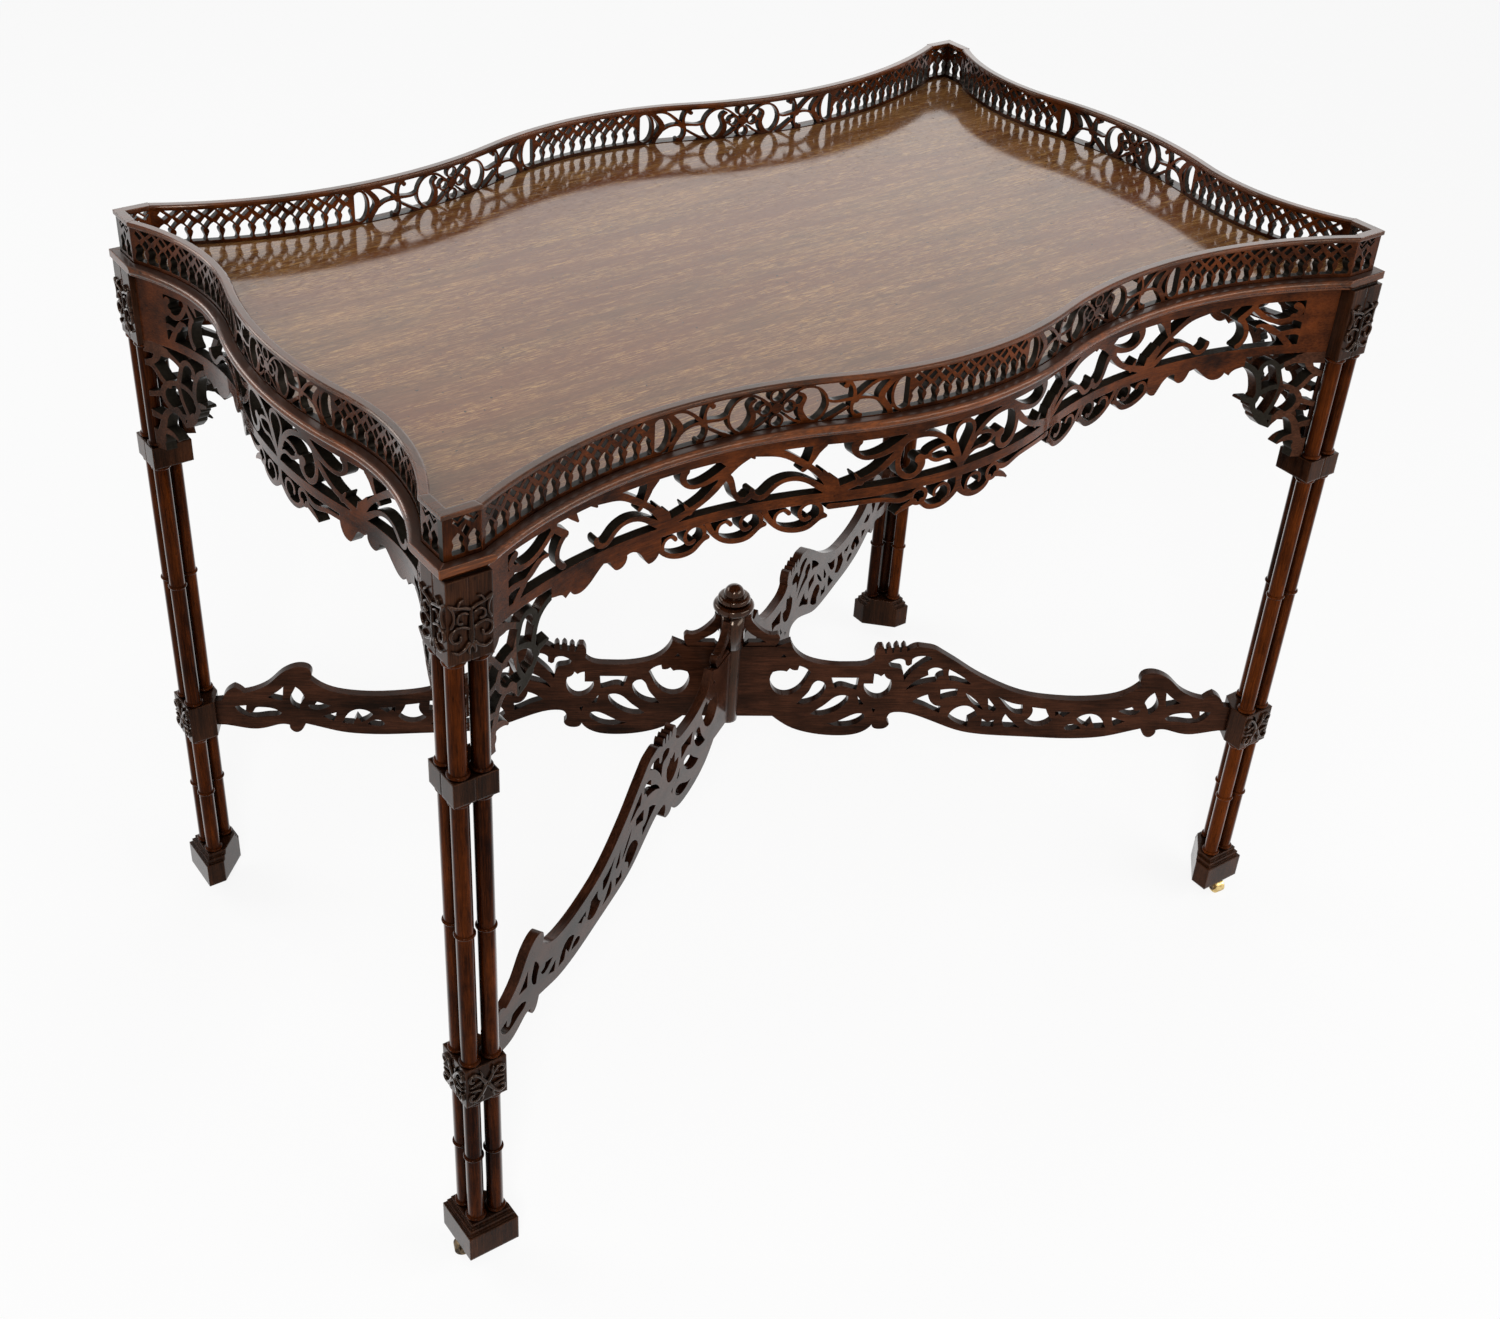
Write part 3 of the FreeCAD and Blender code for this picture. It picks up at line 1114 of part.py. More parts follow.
def bracket(side, leg_place, leg_out):
    """One pierced bracket at the right end of a side, clear of the column's rings and the top block."""
    grid = float(d.bracket_grid)
    edge = leg_place - d.column_offset - d.column_radius - d.column_gap
    start = edge - d.bracket_width
    outer = -d.apron_inset
    inner = outer - d.apron_thickness
    band = side.band(outer, inner, UPPER_COLUMN_Z, MID_RAIL_Z, edge, edge)
    box = band.BoundBox
    band = band.common(Part.makeBox(d.bracket_width, box.YLength + 2 * d.overrun, box.ZLength,
                                    V(start, box.YMin - d.overrun, UPPER_COLUMN_Z)))
    paper = Paper(grid, edge, MID_RAIL_Z, -1)
    solid = paper.strokes(BRACKET_SHARES) + paper.rings([BRACKET_RING_SHARES])
    zone = rectangle(start - d.overrun, edge + d.overrun, UPPER_COLUMN_Z - d.overrun, MID_RAIL_Z + d.overrun)
    front = -(side.face_out + d.overrun)
    ring = 2 * d.column_base_ring + d.column_gap
    wide = d.column_radius + d.column_base_ring + d.column_gap
    clear = [Part.makeCylinder(wide, ring, V(leg_place - d.column_offset, -(leg_out + d.column_offset), z))
             for z in (UPPER_COLUMN_Z, TOP_BLOCK_Z - ring)]
    clear.append(Part.makeBox(d.top_block_half * 2, box.YLength + 2 * d.overrun, d.top_block_height,
                              V(leg_place - d.top_block_half, box.YMin - d.overrun, TOP_BLOCK_Z)))
    return band.cut(prisms(holes_between(zone, solid), front, box.YMax + d.overrun) + clear)


def make_brackets():
    """A pair of pierced brackets in the inner angles of each leg."""
    across_x = bracket(LONG, LEG_X, LEG_Y)
    across_y = bracket(SHORT, LEG_Y, LEG_X)
    flip = (V(0, 0, 0), V(1, 0, 0))
    for name, sx, sy in CORNERS:
        on_long = across_x if sx * sy < 0 else across_x.mirror(*flip)
        on_short = across_y if sx * sy > 0 else across_y.mirror(*flip)
        pair = [turned(on_long, 0 if sy < 0 else HALF_TURN), turned(on_short, sx * QUARTER_TURN)]
        feature("brackets_" + name, Part.makeCompound(pair))


# Legs


def column_places(sx, sy):
    """Where a leg's three columns stand: its outer corner and the two beside it."""
    return [(sx * (LEG_X + i * d.column_offset), sy * (LEG_Y + j * d.column_offset))
            for i, j in ((1, 1), (-1, 1), (1, -1))]


def column(name, z_low, z_high, band=None):
    """One turned column on the Z axis with rings and a round tenon at each end."""
    ring_half = d.column_base_ring
    parts = [
        rod(name + "_shaft", d.column_radius, 0, 0, z_low, z_high - z_low),
        rod(name + "_spigots", d.spigot_radius, 0, 0, z_low - d.spigot_length,
            z_high - z_low + d.spigot_length * 2),
    ]
    for end, z in (("_base", z_low + ring_half), ("_cap", z_high - ring_half)):
        parts.append(primitive("Torus", name + end, (0, 0, z), Radius1=d.column_radius, Radius2=ring_half))
    if band is not None:
        parts.append(primitive("Torus", name + "_band", (0, 0, band), Radius1=d.column_radius,
                               Radius2=d.column_band_ring))
    return fuse(name, parts)


def make_columns():
    """Nine columns to a leg in three tiers."""
    tiers = (
        column("lower_column", FOOT_TOP, STRETCHER_BLOCK_Z, FOOT_TOP + d.lower_band_height),
        column("middle_column", MIDDLE_COLUMN_Z, COLLAR_Z, MIDDLE_COLUMN_Z + d.middle_band_height),
        column("upper_column", UPPER_COLUMN_Z, TOP_BLOCK_Z),
    )
    doc.recompute()
    for name, sx, sy in CORNERS:
        copies = []
        for tier in tiers:
            for x, y in column_places(sx, sy):
                copy = tier.Shape.copy()
                copy.translate(V(x, y, 0))
                copies.append(copy)
        feature("leg_columns_" + name, Part.makeCompound(copies))


def sockets(name, sx, sy, z, height):
    """Round sockets for a leg's three columns."""
    return [rod("%s_%d" % (name, i), d.spigot_radius + d.socket_gap, x, y, z, height)
            for i, (x, y) in enumerate(column_places(sx, sy))]


def grooves(name, half, sx, sy, z, height):
    """V grooves down the middle of a block's two outer faces."""
    diagonal = FreeCAD.Rotation(UP, QUARTER_TURN / 2)
    side = d.groove_depth * math.sqrt(2)
    places = ((sx * LEG_X, sy * (LEG_Y + half)), (sx * (LEG_X + half), sy * LEG_Y))
    return [primitive("Box", "%s_%d" % (name, i), (x, y - d.groove_depth, z), diagonal,
                      Length=side, Width=side, Height=height)
            for i, (x, y) in enumerate(places)]


def make_top_blocks():
    """Blocks that join columns, aprons and board."""
    depth = d.spigot_length + d.socket_end_gap
    deep = d.apron_tenon_length + d.socket_end_gap
    wide = d.apron_tenon_thickness / 2 + d.mortise_gap
    tall = d.apron_tenon_height + d.mortise_gap * 2
    low = (OPEN_Z + OPEN_TOP) / 2 - tall / 2
    middle = -(d.apron_inset + d.apron_thickness / 2)
    long_y = -LONG.valley_y(middle, LEG_X - d.top_block_half)
    short_x = -SHORT.valley_y(middle, LEG_Y - d.top_block_half)
    half = d.top_block_half
    for name, sx, sy in CORNERS:
        label = "leg_top_block_" + name
        body = block(label + "_block", half, half, sx * LEG_X, sy * LEG_Y, TOP_BLOCK_Z, d.top_block_height)
        spigot = rod(label + "_spigot", d.board_spigot_radius, sx * LEG_X, sy * LEG_Y, BOARD_Z - half,
                     half + d.board_spigot_length)
        tools = sockets(label + "_socket", sx, sy, TOP_BLOCK_Z, depth)
        tools += grooves(label + "_groove", half, sx, sy, TOP_BLOCK_Z, d.top_block_height)
        tools.append(block(label + "_long_mortise", deep, wide, sx * (LEG_X - half), sy * long_y, low, tall))
        tools.append(block(label + "_short_mortise", wide, deep, sx * short_x, sy * (LEG_Y - half), low, tall))
        node(cut(label, fuse(label + "_solid", [body, spigot]), tools), label)


def make_collars():
    """Small square collars between the middle and the upper columns."""
    depth = d.spigot_length + d.socket_end_gap
    half = d.collar_half
    collars = []
    for name, sx, sy in CORNERS:
        label = "collar_" + name
        body = block(label + "_block", half, half, sx * LEG_X, sy * LEG_Y, COLLAR_Z, d.collar_height)
        tools = sockets(label + "_low", sx, sy, COLLAR_Z, depth)
        tools += sockets(label + "_high", sx, sy, UPPER_COLUMN_Z - depth, depth)
        tools += grooves(label + "_groove", half, sx, sy, COLLAR_Z, d.collar_height)
        collars.append(cut(label, body, tools))
    group("leg_collars", collars)


def group(label, parts):
    """Identical pieces that share one node."""
    part = doc.addObject("Part::Compound", label)
    part.Links = parts
    return node(part, label)


def arm_angle(sx, sy):
    """Direction of the stretcher arm toward a leg."""
    return math.degrees(math.atan2(sy * LEG_Y, sx * LEG_X))


def arm_box(name, angle, near, far, half, z, height):
    """A box along an arm between two distances from the hub's axis."""
    rotation = FreeCAD.Rotation(UP, angle)
    place = rotation.multVec(V(near, -half, z))
    return primitive("Box", name, (place.x, place.y, z), rotation,
                     Length=far - near, Width=half * 2, Height=height)


def make_stretcher_blocks():
    """Blocks with a canted inner corner that takes a stretcher arm."""
    depth = d.spigot_length + d.socket_end_gap
    half = d.stretcher_block_half
    tall = d.arm_tenon_height + d.mortise_gap * 2
    for name, sx, sy in CORNERS:
        label = "stretcher_block_" + name
        angle = arm_angle(sx, sy)
        body = block(label + "_block", half, half, sx * LEG_X, sy * LEG_Y, STRETCHER_BLOCK_Z,
                     d.stretcher_block_height)
        tools = sockets(label + "_low", sx, sy, STRETCHER_BLOCK_Z, depth)
        tools += sockets(label + "_high", sx, sy, MIDDLE_COLUMN_Z - depth, depth)
        tools.append(arm_box(label + "_cant", angle, d.arm_end - half * 2, d.arm_end, half * 2,
                             STRETCHER_BLOCK_Z, d.stretcher_block_height))
        tools.append(arm_box(label + "_mortise", angle, d.arm_end - half,
                             d.arm_end + d.arm_tenon_length + d.socket_end_gap,
                             d.arm_tenon_thickness / 2 + d.mortise_gap, ARM_TENON_Z - tall / 2, tall))
        node(cut(label, body, tools), label)


# Feet


RECESS_TOP = d.foot_gap + d.recess_depth
PLATE_Z = RECESS_TOP - d.plate_thickness
CROWN_TOP = PLATE_Z - d.crown_gap
CROWN_Z = CROWN_TOP - d.crown_thickness
RIVET_HEAD_TOP = CROWN_Z - d.crown_gap
SCREW_SEAT = PLATE_Z + d.screw_head_height


def screw_places():
    """Plate screws round the swivel axis of the front left foot, seen from the foot's middle."""
    step = 2 * math.pi / SCREWS_PER_PLATE
    first = math.pi / 4
    return [(d.screw_circle * math.cos(first + step * i) - d.castor_offset,
             d.screw_circle * math.sin(first + step * i) - d.castor_offset) for i in range(SCREWS_PER_PLATE)]


def foot_outline(inset):
    """The foot's plan with its inner corner taken off; outer faces stand back by the inset."""
    half = d.foot_half - inset
    cant = d.foot_half * 2 - d.foot_cant - half
    return [(-half, -half), (half, -half), (half, cant), (cant, half), (-half, half)]


def make_feet():
    """Stepped feet with a canted inner corner, a castor recess and three column sockets."""
    body = doc.addObject("PartDesign::Body", "foot")
    tiers = ((0, d.foot_gap, d.foot_block_height),
             (d.foot_step_inset, FOOT_STEP_1, d.foot_step_height),
             (d.foot_step_inset * 2, FOOT_STEP_2, d.foot_step_height))
    for i, (inset, z, height) in enumerate(tiers):
        sketch = sketch_on(body, "foot_tier_%d" % i, "XY_Plane", z)
        draw_polygon(sketch, foot_outline(inset))
        pad(body, "foot_pad_%d" % i, sketch, height)
    sketch = sketch_on(body, "foot_recess_circle", "XY_Plane", d.foot_gap)
    draw_circle(sketch, -d.castor_offset, -d.castor_offset, d.recess_radius)
    pocket(body, "foot_recess", sketch, d.recess_depth, reverse=True)
    sketch = sketch_on(body, "foot_socket_circles", "XY_Plane", FOOT_TOP)
    for i, j in ((-1, -1), (1, -1), (-1, 1)):
        draw_circle(sketch, d.column_offset * i, d.column_offset * j, d.spigot_radius + d.socket_gap)
    pocket(body, "foot_sockets", sketch, d.spigot_length + d.socket_end_gap)
    sketch = sketch_on(body, "foot_screw_circles", "XY_Plane", RECESS_TOP)
    for x, y in screw_places():
        draw_circle(sketch, x, y, d.screw_radius + d.socket_gap)
    depth = SCREW_SEAT + d.screw_length + d.socket_end_gap - RECESS_TOP
    pocket(body, "foot_screw_holes", sketch, depth, reverse=True)
    for i, (name, sx, sy) in enumerate(CORNERS):
        foot = group("foot_" + name, [body])
        place_at(foot, sx * LEG_X, sy * LEG_Y, i * QUARTER_TURN)


def place_at(part, x, y, angle):
    """Turns a finished sub-part and binds its place to the sheet."""
    part.Placement = FreeCAD.Placement(V(x, y, 0), FreeCAD.Rotation(UP, angle))
    part.setExpression("Placement.Base.x", x.text)
    part.setExpression("Placement.Base.y", y.text)


# Stretcher and hub


def smooth_run(points):
    """Edges through an open run of points, smooth except at sharp turns."""
    last = len(points) - 1
    stops = [0] + [i for i in range(1, last)
                   if turn_at(points[i - 1], points[i], points[i + 1]) > SHARP_TURN] + [last]
    return [spline(points[a:b + 1]) for a, b in zip(stops, stops[1:])]


def make_arms():
    """Four pierced and scrolled stretcher arms from the hub to the legs."""
    paper = Paper(d.arm_grid, 0, d.arm_paper_foot)
    top = paper.points(ARM_TOP_SHARES)
    bottom = paper.points(ARM_BOTTOM_SHARES)
    near = d.hub_radius - d.arm_tongue_depth
    shoulder_top = V(d.arm_end, 0, paper.at((0, ARM_SHOULDER_SHARES[0])).z)
    shoulder_foot = V(d.arm_end, 0, paper.at((0, ARM_SHOULDER_SHARES[1])).z)
    hub_top = V(near, 0, d.arm_top_height)
    hub_foot = V(near, 0, d.arm_low_height)
    edges = [Part.makeLine(hub_top, top[0])] + smooth_run(top)
    edges += [Part.makeLine(top[-1], shoulder_top), Part.makeLine(shoulder_top, shoulder_foot)]
    edges += [Part.makeLine(shoulder_foot, bottom[0])] + smooth_run(bottom)
    edges += [Part.makeLine(bottom[-1], hub_foot), Part.makeLine(hub_foot, hub_top)]
    face = Part.Face(Part.Wire(edges))
    holes = [Part.Face(smooth_outline(paper.points(row))) for row in ARM_HOLE_SHARES]
    face = face.cut(holes).Faces[0]
    face.translate(V(0, -d.arm_thickness / 2, 0))
    plate = face.extrude(V(0, d.arm_thickness, 0))
    tenon = Part.makeBox(d.arm_tenon_length + d.arm_tenon_thickness, d.arm_tenon_thickness,
                         d.arm_tenon_height, V(d.arm_end - d.arm_tenon_thickness, -d.arm_tenon_thickness / 2,
                                               ARM_TENON_Z - d.arm_tenon_height / 2))
    tall = d.arm_top_height - d.arm_low_height + 2 * d.overrun
    low = V(0, 0, d.arm_low_height - d.overrun)
    post = Part.makeCylinder(d.hub_radius + d.socket_gap, tall, low)
    tongue = Part.makeBox(d.hub_radius * 2, d.arm_tongue_thickness, tall,
                          low - V(0, d.arm_tongue_thickness / 2, 0))
    arm = plate.cut(post.cut(tongue)).fuse(tenon)
    for name, sx, sy in CORNERS:
        feature("stretcher_arm_" + name, arm, arm_angle(sx, sy))


def make_hub():
    """Slotted post, turned finial on top of it and a scrolled ear on each arm."""
    post_foot = d.arm_low_height - d.hub_foot
    post = rod("hub_core", d.hub_radius, 0, 0, post_foot, d.arm_top_height - post_foot)
    near = d.hub_radius - d.arm_tongue_depth - d.socket_end_gap
    low = d.arm_low_height - d.mortise_gap
    tools = [rod("hub_bore", d.finial_spigot_radius + d.socket_gap, 0, 0,
                 d.arm_top_height - d.finial_spigot_length - d.socket_end_gap,
                 d.finial_spigot_length + d.socket_end_gap)]
    for name, sx, sy in CORNERS:
        tools.append(arm_box("hub_slot_" + name, arm_angle(sx, sy), near, d.hub_radius * 2,
                             d.arm_tongue_thickness / 2 + d.mortise_gap, low, d.arm_top_height - low))
    node(cut("hub_post", post, tools), "hub_post")
    stem_top = d.arm_top_height + d.finial_stem
    ring_foot = stem_top + d.finial_cup_height
    ring_top = ring_foot + d.finial_ring_height
    collar_top = ring_top + d.finial_collar_height
    core = d.finial_ring_radius - d.finial_ring_edge
    parts = [
        rod("finial_spigot", d.finial_spigot_radius, 0, 0, d.arm_top_height - d.finial_spigot_length,
            d.finial_spigot_length + d.finial_stem),
        rod("finial_stem", d.hub_radius, 0, 0, d.arm_top_height, d.finial_stem),
        primitive("Cone", "finial_cup", (0, 0, stem_top), Radius1=d.hub_radius, Radius2=core,
                  Height=d.finial_cup_height),
        rounded(rod("finial_ring", d.finial_ring_radius, 0, 0, ring_foot, d.finial_ring_height),
                d.finial_ring_edge),
        rounded(rod("finial_collar", d.finial_collar_radius, 0, 0, ring_top, d.finial_collar_height),
                d.finial_collar_edge),
        primitive("Sphere", "finial_dome", (0, 0, collar_top + d.finial_dome_lift), Radius=d.finial_dome_radius),
    ]
    node(fuse("finial", parts), "finial")
    paper = Paper(d.arm_grid, 0, d.arm_paper_foot)
    face = Part.Face(smooth_outline(paper.points(EAR_SHARES)))
    face = face.cut(Part.Face(smooth_outline(paper.points(EAR_HOLE_SHARES)))).Faces[0]
    face.translate(V(0, -d.ear_thickness / 2, 0))
    ear = face.extrude(V(0, d.ear_thickness, 0))
    feature("hub_ears", Part.makeCompound([turned(ear, arm_angle(sx, sy)) for _, sx, sy in CORNERS]))


# Castors


def swivel_place(sx, sy):
    """Swivel axis of a leg's castor."""
    return sx * (LEG_X + d.castor_offset), sy * (LEG_Y + d.castor_offset)


def make_castor_plates():
    """Round plates screwed into the recesses, each with the rivet its fork turns on."""
    parts = [
        rod("plate_disc", d.plate_radius, 0, 0, PLATE_Z, d.plate_thickness),
        rod("plate_rivet", d.rivet_radius, 0, 0, RIVET_HEAD_TOP - d.rivet_head_height,
            PLATE_Z - RIVET_HEAD_TOP + d.rivet_head_height + d.plate_thickness / 2),
        rod("plate_rivet_head", d.rivet_head_radius, 0, 0, RIVET_HEAD_TOP - d.rivet_head_height,
            d.rivet_head_height),
    ]
    solid = fuse("plate_solid", parts)
    tools, screws = [], []
    for i, (x, y) in enumerate(screw_places()):
        x, y = x + d.castor_offset, y + d.castor_offset
        tools.append(rod("plate_seat_%d" % i, d.screw_head_radius + d.socket_gap, x, y, PLATE_Z,
                         d.screw_head_height))
        tools.append(rod("plate_hole_%d" % i, d.screw_radius + d.socket_gap, x, y, PLATE_Z,
                         d.plate_thickness))
        head = rod("screw_head_%d" % i, d.screw_head_radius, x, y, PLATE_Z, d.screw_head_height)
        shank = rod("screw_shank_%d" % i, d.screw_radius, x, y, PLATE_Z, d.screw_head_height + d.screw_length)
        screws.append(fuse("screw_%d" % i, [head, shank]))
    plate = cut("castor_plate", solid, tools)
    doc.recompute()
    plates, sets = [], []
    for i, (_, sx, sy) in enumerate(CORNERS):
        move = FreeCAD.Placement(V(*swivel_place(sx, sy), 0), FreeCAD.Rotation(UP, i * QUARTER_TURN))
        for source, copies in [(plate, plates)] + [(screw, sets) for screw in screws]:
            copy = source.Shape.copy()
            copy.Placement = move.multiply(copy.Placement)
            copies.append(copy)
    feature("castor_plates", Part.makeCompound(plates))
    feature("castor_screws", Part.makeCompound(sets))


def make_castor_fork():
    """Fork with its crown on the swivel axis and its cheeks trailing along X, and the axle through it."""
    body = doc.addObject("PartDesign::Body", "fork")
    inside = d.wheel_width + d.fork_side_gap * 2
    outside = inside + d.fork_wall * 2
    eye = d.fork_eye_radius
    x, z = d.castor_trail, d.wheel_radius
    sketch = sketch_on(body, "fork_crown_circle", "XY_Plane", CROWN_Z)
    draw_circle(sketch, 0, 0, d.crown_radius)
    pad(body, "fork_crown", sketch, d.crown_thickness)
    sketch = sketch_on(body, "fork_cheek_outline", "XZ_Plane")
    shares = CHEEK_SHARES
    draw_polygon(sketch, [
        (d.crown_radius * -shares[0], CROWN_Z), (d.crown_radius * -shares[0], CROWN_TOP),
        (d.crown_radius * shares[1], CROWN_TOP), (x * shares[2], d.foot_gap),
        (x + eye, z + eye / 2), (x + eye, z - eye / 2), (x + eye / 2, z - eye), (x - eye / 2, z - eye),
        (x - eye, z - eye / 2), (x - eye, z + eye / 2), (d.crown_radius * shares[3], CROWN_Z)][::-1])
    pad(body, "fork_cheeks", sketch, outside, midplane=True)
    sketch = sketch_on(body, "fork_gap_outline", "XZ_Plane")
    far = x + eye + d.overrun
    near = -d.crown_radius - d.overrun
    draw_polygon(sketch, [(near, -d.overrun), (far, -d.overrun), (far, CROWN_Z), (near, CROWN_Z)])
    pocket(body, "fork_gap", sketch, inside, midplane=True)
    sketch = sketch_on(body, "fork_rivet_circle", "XY_Plane", CROWN_TOP)
    draw_circle(sketch, 0, 0, d.rivet_radius + d.running_gap)
    pocket(body, "fork_rivet_hole", sketch, d.crown_thickness)
    sketch = sketch_on(body, "fork_axle_circle", "XZ_Plane")
    draw_circle(sketch, x, z, d.axle_radius)
    pocket(body, "fork_axle_hole", sketch, outside, midplane=True)
    across = FreeCAD.Rotation(V(1, 0, 0), -QUARTER_TURN)
    axle = primitive("Cylinder", "axle", (x, -outside / 2, z), across, Radius=d.axle_radius, Height=outside)
    return body, axle


def make_castor_wheel():
    """Wheel with rounded edges on its axle, trailing along X."""
    across = FreeCAD.Rotation(V(1, 0, 0), -QUARTER_TURN)
    x, z = d.castor_trail, d.wheel_radius
    disc = primitive("Cylinder", "wheel_disc", (x, -d.wheel_width / 2, z), across, Radius=d.wheel_radius,
                     Height=d.wheel_width)
    bore = primitive("Cylinder", "wheel_bore", (x, -d.wheel_width / 2, z), across,
                     Radius=d.axle_radius + d.running_gap, Height=d.wheel_width)
    return cut("wheel", rounded(disc, d.wheel_edge_radius), [bore])


def make_castors():
    """Four castors that swivel under the feet."""
    make_castor_plates()
    fork, axle = make_castor_fork()
    wheel = make_castor_wheel()
    for name, sx, sy in CORNERS:
        x, y = swivel_place(sx, sy)
        place_at(group("castor_fork_" + name, [fork, axle]), x, y, CASTOR_ANGLES[name])
        place_at(group("castor_wheel_" + name, [wheel]), x, y, CASTOR_ANGLES[name])


def check_and_write():
    """Stops on any failed object, then writes each sub-part to its own file."""
    doc.recompute()
    for item in doc.Objects:
        if "Invalid" in item.State or "Error" in item.State:
            raise RuntimeError("%s failed: %s" % (item.Label, item.State))
    for part in nodes:
        if part.Shape.isNull() or not part.Shape.isValid():
            raise RuntimeError("%s has no valid shape" % part.Label)
    os.makedirs("parts", exist_ok=True)
    for part in nodes:
        part.Shape.exportStep("parts/%s.step" % part.Label)


make_board()
make_mouldings()
make_gallery()
make_gallery_corners()
make_cap_rails()
make_aprons()
make_brackets()
make_columns()
make_top_blocks()
make_collars()
make_stretcher_blocks()
make_feet()
make_arms()
make_hub()
make_castors()
check_and_write()
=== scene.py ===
import bmesh
import bpy
import math
from mathutils import Matrix, Vector


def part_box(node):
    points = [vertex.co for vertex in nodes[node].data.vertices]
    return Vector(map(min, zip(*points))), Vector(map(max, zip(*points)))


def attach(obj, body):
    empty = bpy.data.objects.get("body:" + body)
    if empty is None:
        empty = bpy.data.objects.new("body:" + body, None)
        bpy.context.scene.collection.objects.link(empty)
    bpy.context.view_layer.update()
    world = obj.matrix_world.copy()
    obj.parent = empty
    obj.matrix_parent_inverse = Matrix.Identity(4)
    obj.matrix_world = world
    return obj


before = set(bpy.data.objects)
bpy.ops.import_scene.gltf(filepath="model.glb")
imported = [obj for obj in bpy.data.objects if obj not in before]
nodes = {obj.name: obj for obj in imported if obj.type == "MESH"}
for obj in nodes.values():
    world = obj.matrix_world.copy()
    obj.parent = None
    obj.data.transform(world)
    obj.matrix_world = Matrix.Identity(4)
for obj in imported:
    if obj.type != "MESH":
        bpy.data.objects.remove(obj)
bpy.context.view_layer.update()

# Lengths are in metres and texture scales per metre. Names that end in MM are in millimetres.

MM_PER_M = 1000
CORNERS = (("front_left", -1, -1), ("front_right", 1, -1), ("back_right", 1, 1), ("back_left", -1, 1))
LEG = (0.4434, 0.2775)  # from the table's middle to a leg's, along X and Y
ARM_TURN = math.atan2(LEG[1], LEG[0])


# Materials

GRAIN_AXES = {"x": (0, 1, 1), "y": (1, 0, 1), "z": (1, 1, 0)}  # 1 where a direction is across the grain

# Noises that run with the grain: scale along it, scale across it, octaves, roughness and distortion
BROAD_FIGURE = (1.4, 13.0, 4.0, 0.55, 0.5)
RIBBON_FIGURE = (7.0, 70.0, 4.0, 0.62, 0.3)
FIBRES = (45.0, 700.0, 3.0, 0.6, 0.0)
PORES = (130.0, 1600.0, 2.0, 0.5, 0.0)
RED_PATCHES = (2.2, 8.0, 5.0, 0.6, 0.6)
GOLD_FLECKS = (95.0, 1250.0, 4.0, 0.66, 0.0)

# Even noises: scale, octaves and roughness
BLOTCHES = (24.0, 4.0, 0.6)
SPECKS = (210.0, 2.0, 0.4)
POLISH_MARKS = (60.0, 4.0, 0.55)
WEAR_MARKS = (45.0, 3.0, 0.55)
SAW_MARKS = (420.0, 4.0, 0.65)
PATINA = (260.0, 4.0, 0.65)
METAL_MARKS = (700.0, 3.0, 0.55)

# Steps: where the value starts and ends, then what comes out there if that isn't 0 and 1
PORE_STEP = (0.60, 0.70)
PATCH_STEP = (0.44, 0.64, 0.0, 0.75)
FLECK_STEP = (0.48, 0.66)
FLECK_RIBBON_STEP = (0.36, 0.6, 0.12, 0.85)
SPECK_STEP = (0.735, 0.755)
HOLLOW_STEP = (0.3, 0.92, 1.0, 0.0)
POLISH_STEP = (0.3, 0.75)
LEVEL_STEP = (0.9, 0.99)
EDGE_STEP = (0.80, 0.99)
WEAR_STEP = (0.34, 0.58)
WALL_STEP = (0.35, 0.7, 1.0, 0.0)
COAT_STEP = (0.46, 0.74)
PATINA_STEP = (0.42, 0.62)
METAL_STEP = (0.3, 0.7)

# Shares of the figure's parts, of a wood's two colours and of its roughness
RIBBON_SHARE = 0.35
TONE_RANGE = (0.72, 1.3)
MIDDLE_STOP, MIDDLE_LIGHT = 0.55, 0.45
# The last of these sets how dark the painted shade in hollows is.
SPECK_DARKNESS, PORE_DARKNESS, HOLLOW_SHADE_DARKNESS = 0.15, 0.25, 0.12
PORE_STRENGTH = 0.6
# Share and darkness of the painted shade on faces that look up
LEDGE_SHADE_STRENGTH, LEDGE_SHADE_DARKNESS = 0.8, 1.5
WORN_BRIGHTNESS = 1.7
ROUGH_RANGE = (0.75, 1.4)
METAL_ROUGH_RANGE = (0.7, 1.5)
WALL_ROUGHNESS = 0.25
SAWDUST_STOPS, SAWDUST_DARKNESS = (0.3, 0.7), 0.45

# Bump
FIBRE_HEIGHT, PORE_HEIGHT, SAW_HEIGHT = 0.3, 0.7, 1.2
WOOD_BUMP, SAWN_BUMP, METAL_BUMP = 0.12, 0.25, 0.25
WOOD_BUMP_DEPTH, METAL_BUMP_DEPTH = 0.0004, 0.0002

# How far the painted shade in hollows reaches, and the samples of the shading nodes
HOLLOW_REACH, SHADING_SAMPLES = 0.022, 4
POLISH_TINT = (1.0, 0.78, 0.62)
COAT_ROUGHNESS = 0.05


def rgba(*colour):
    return (*colour, 1.0)


def scaled(colour, share):
    return rgba(*(part * share for part in colour))


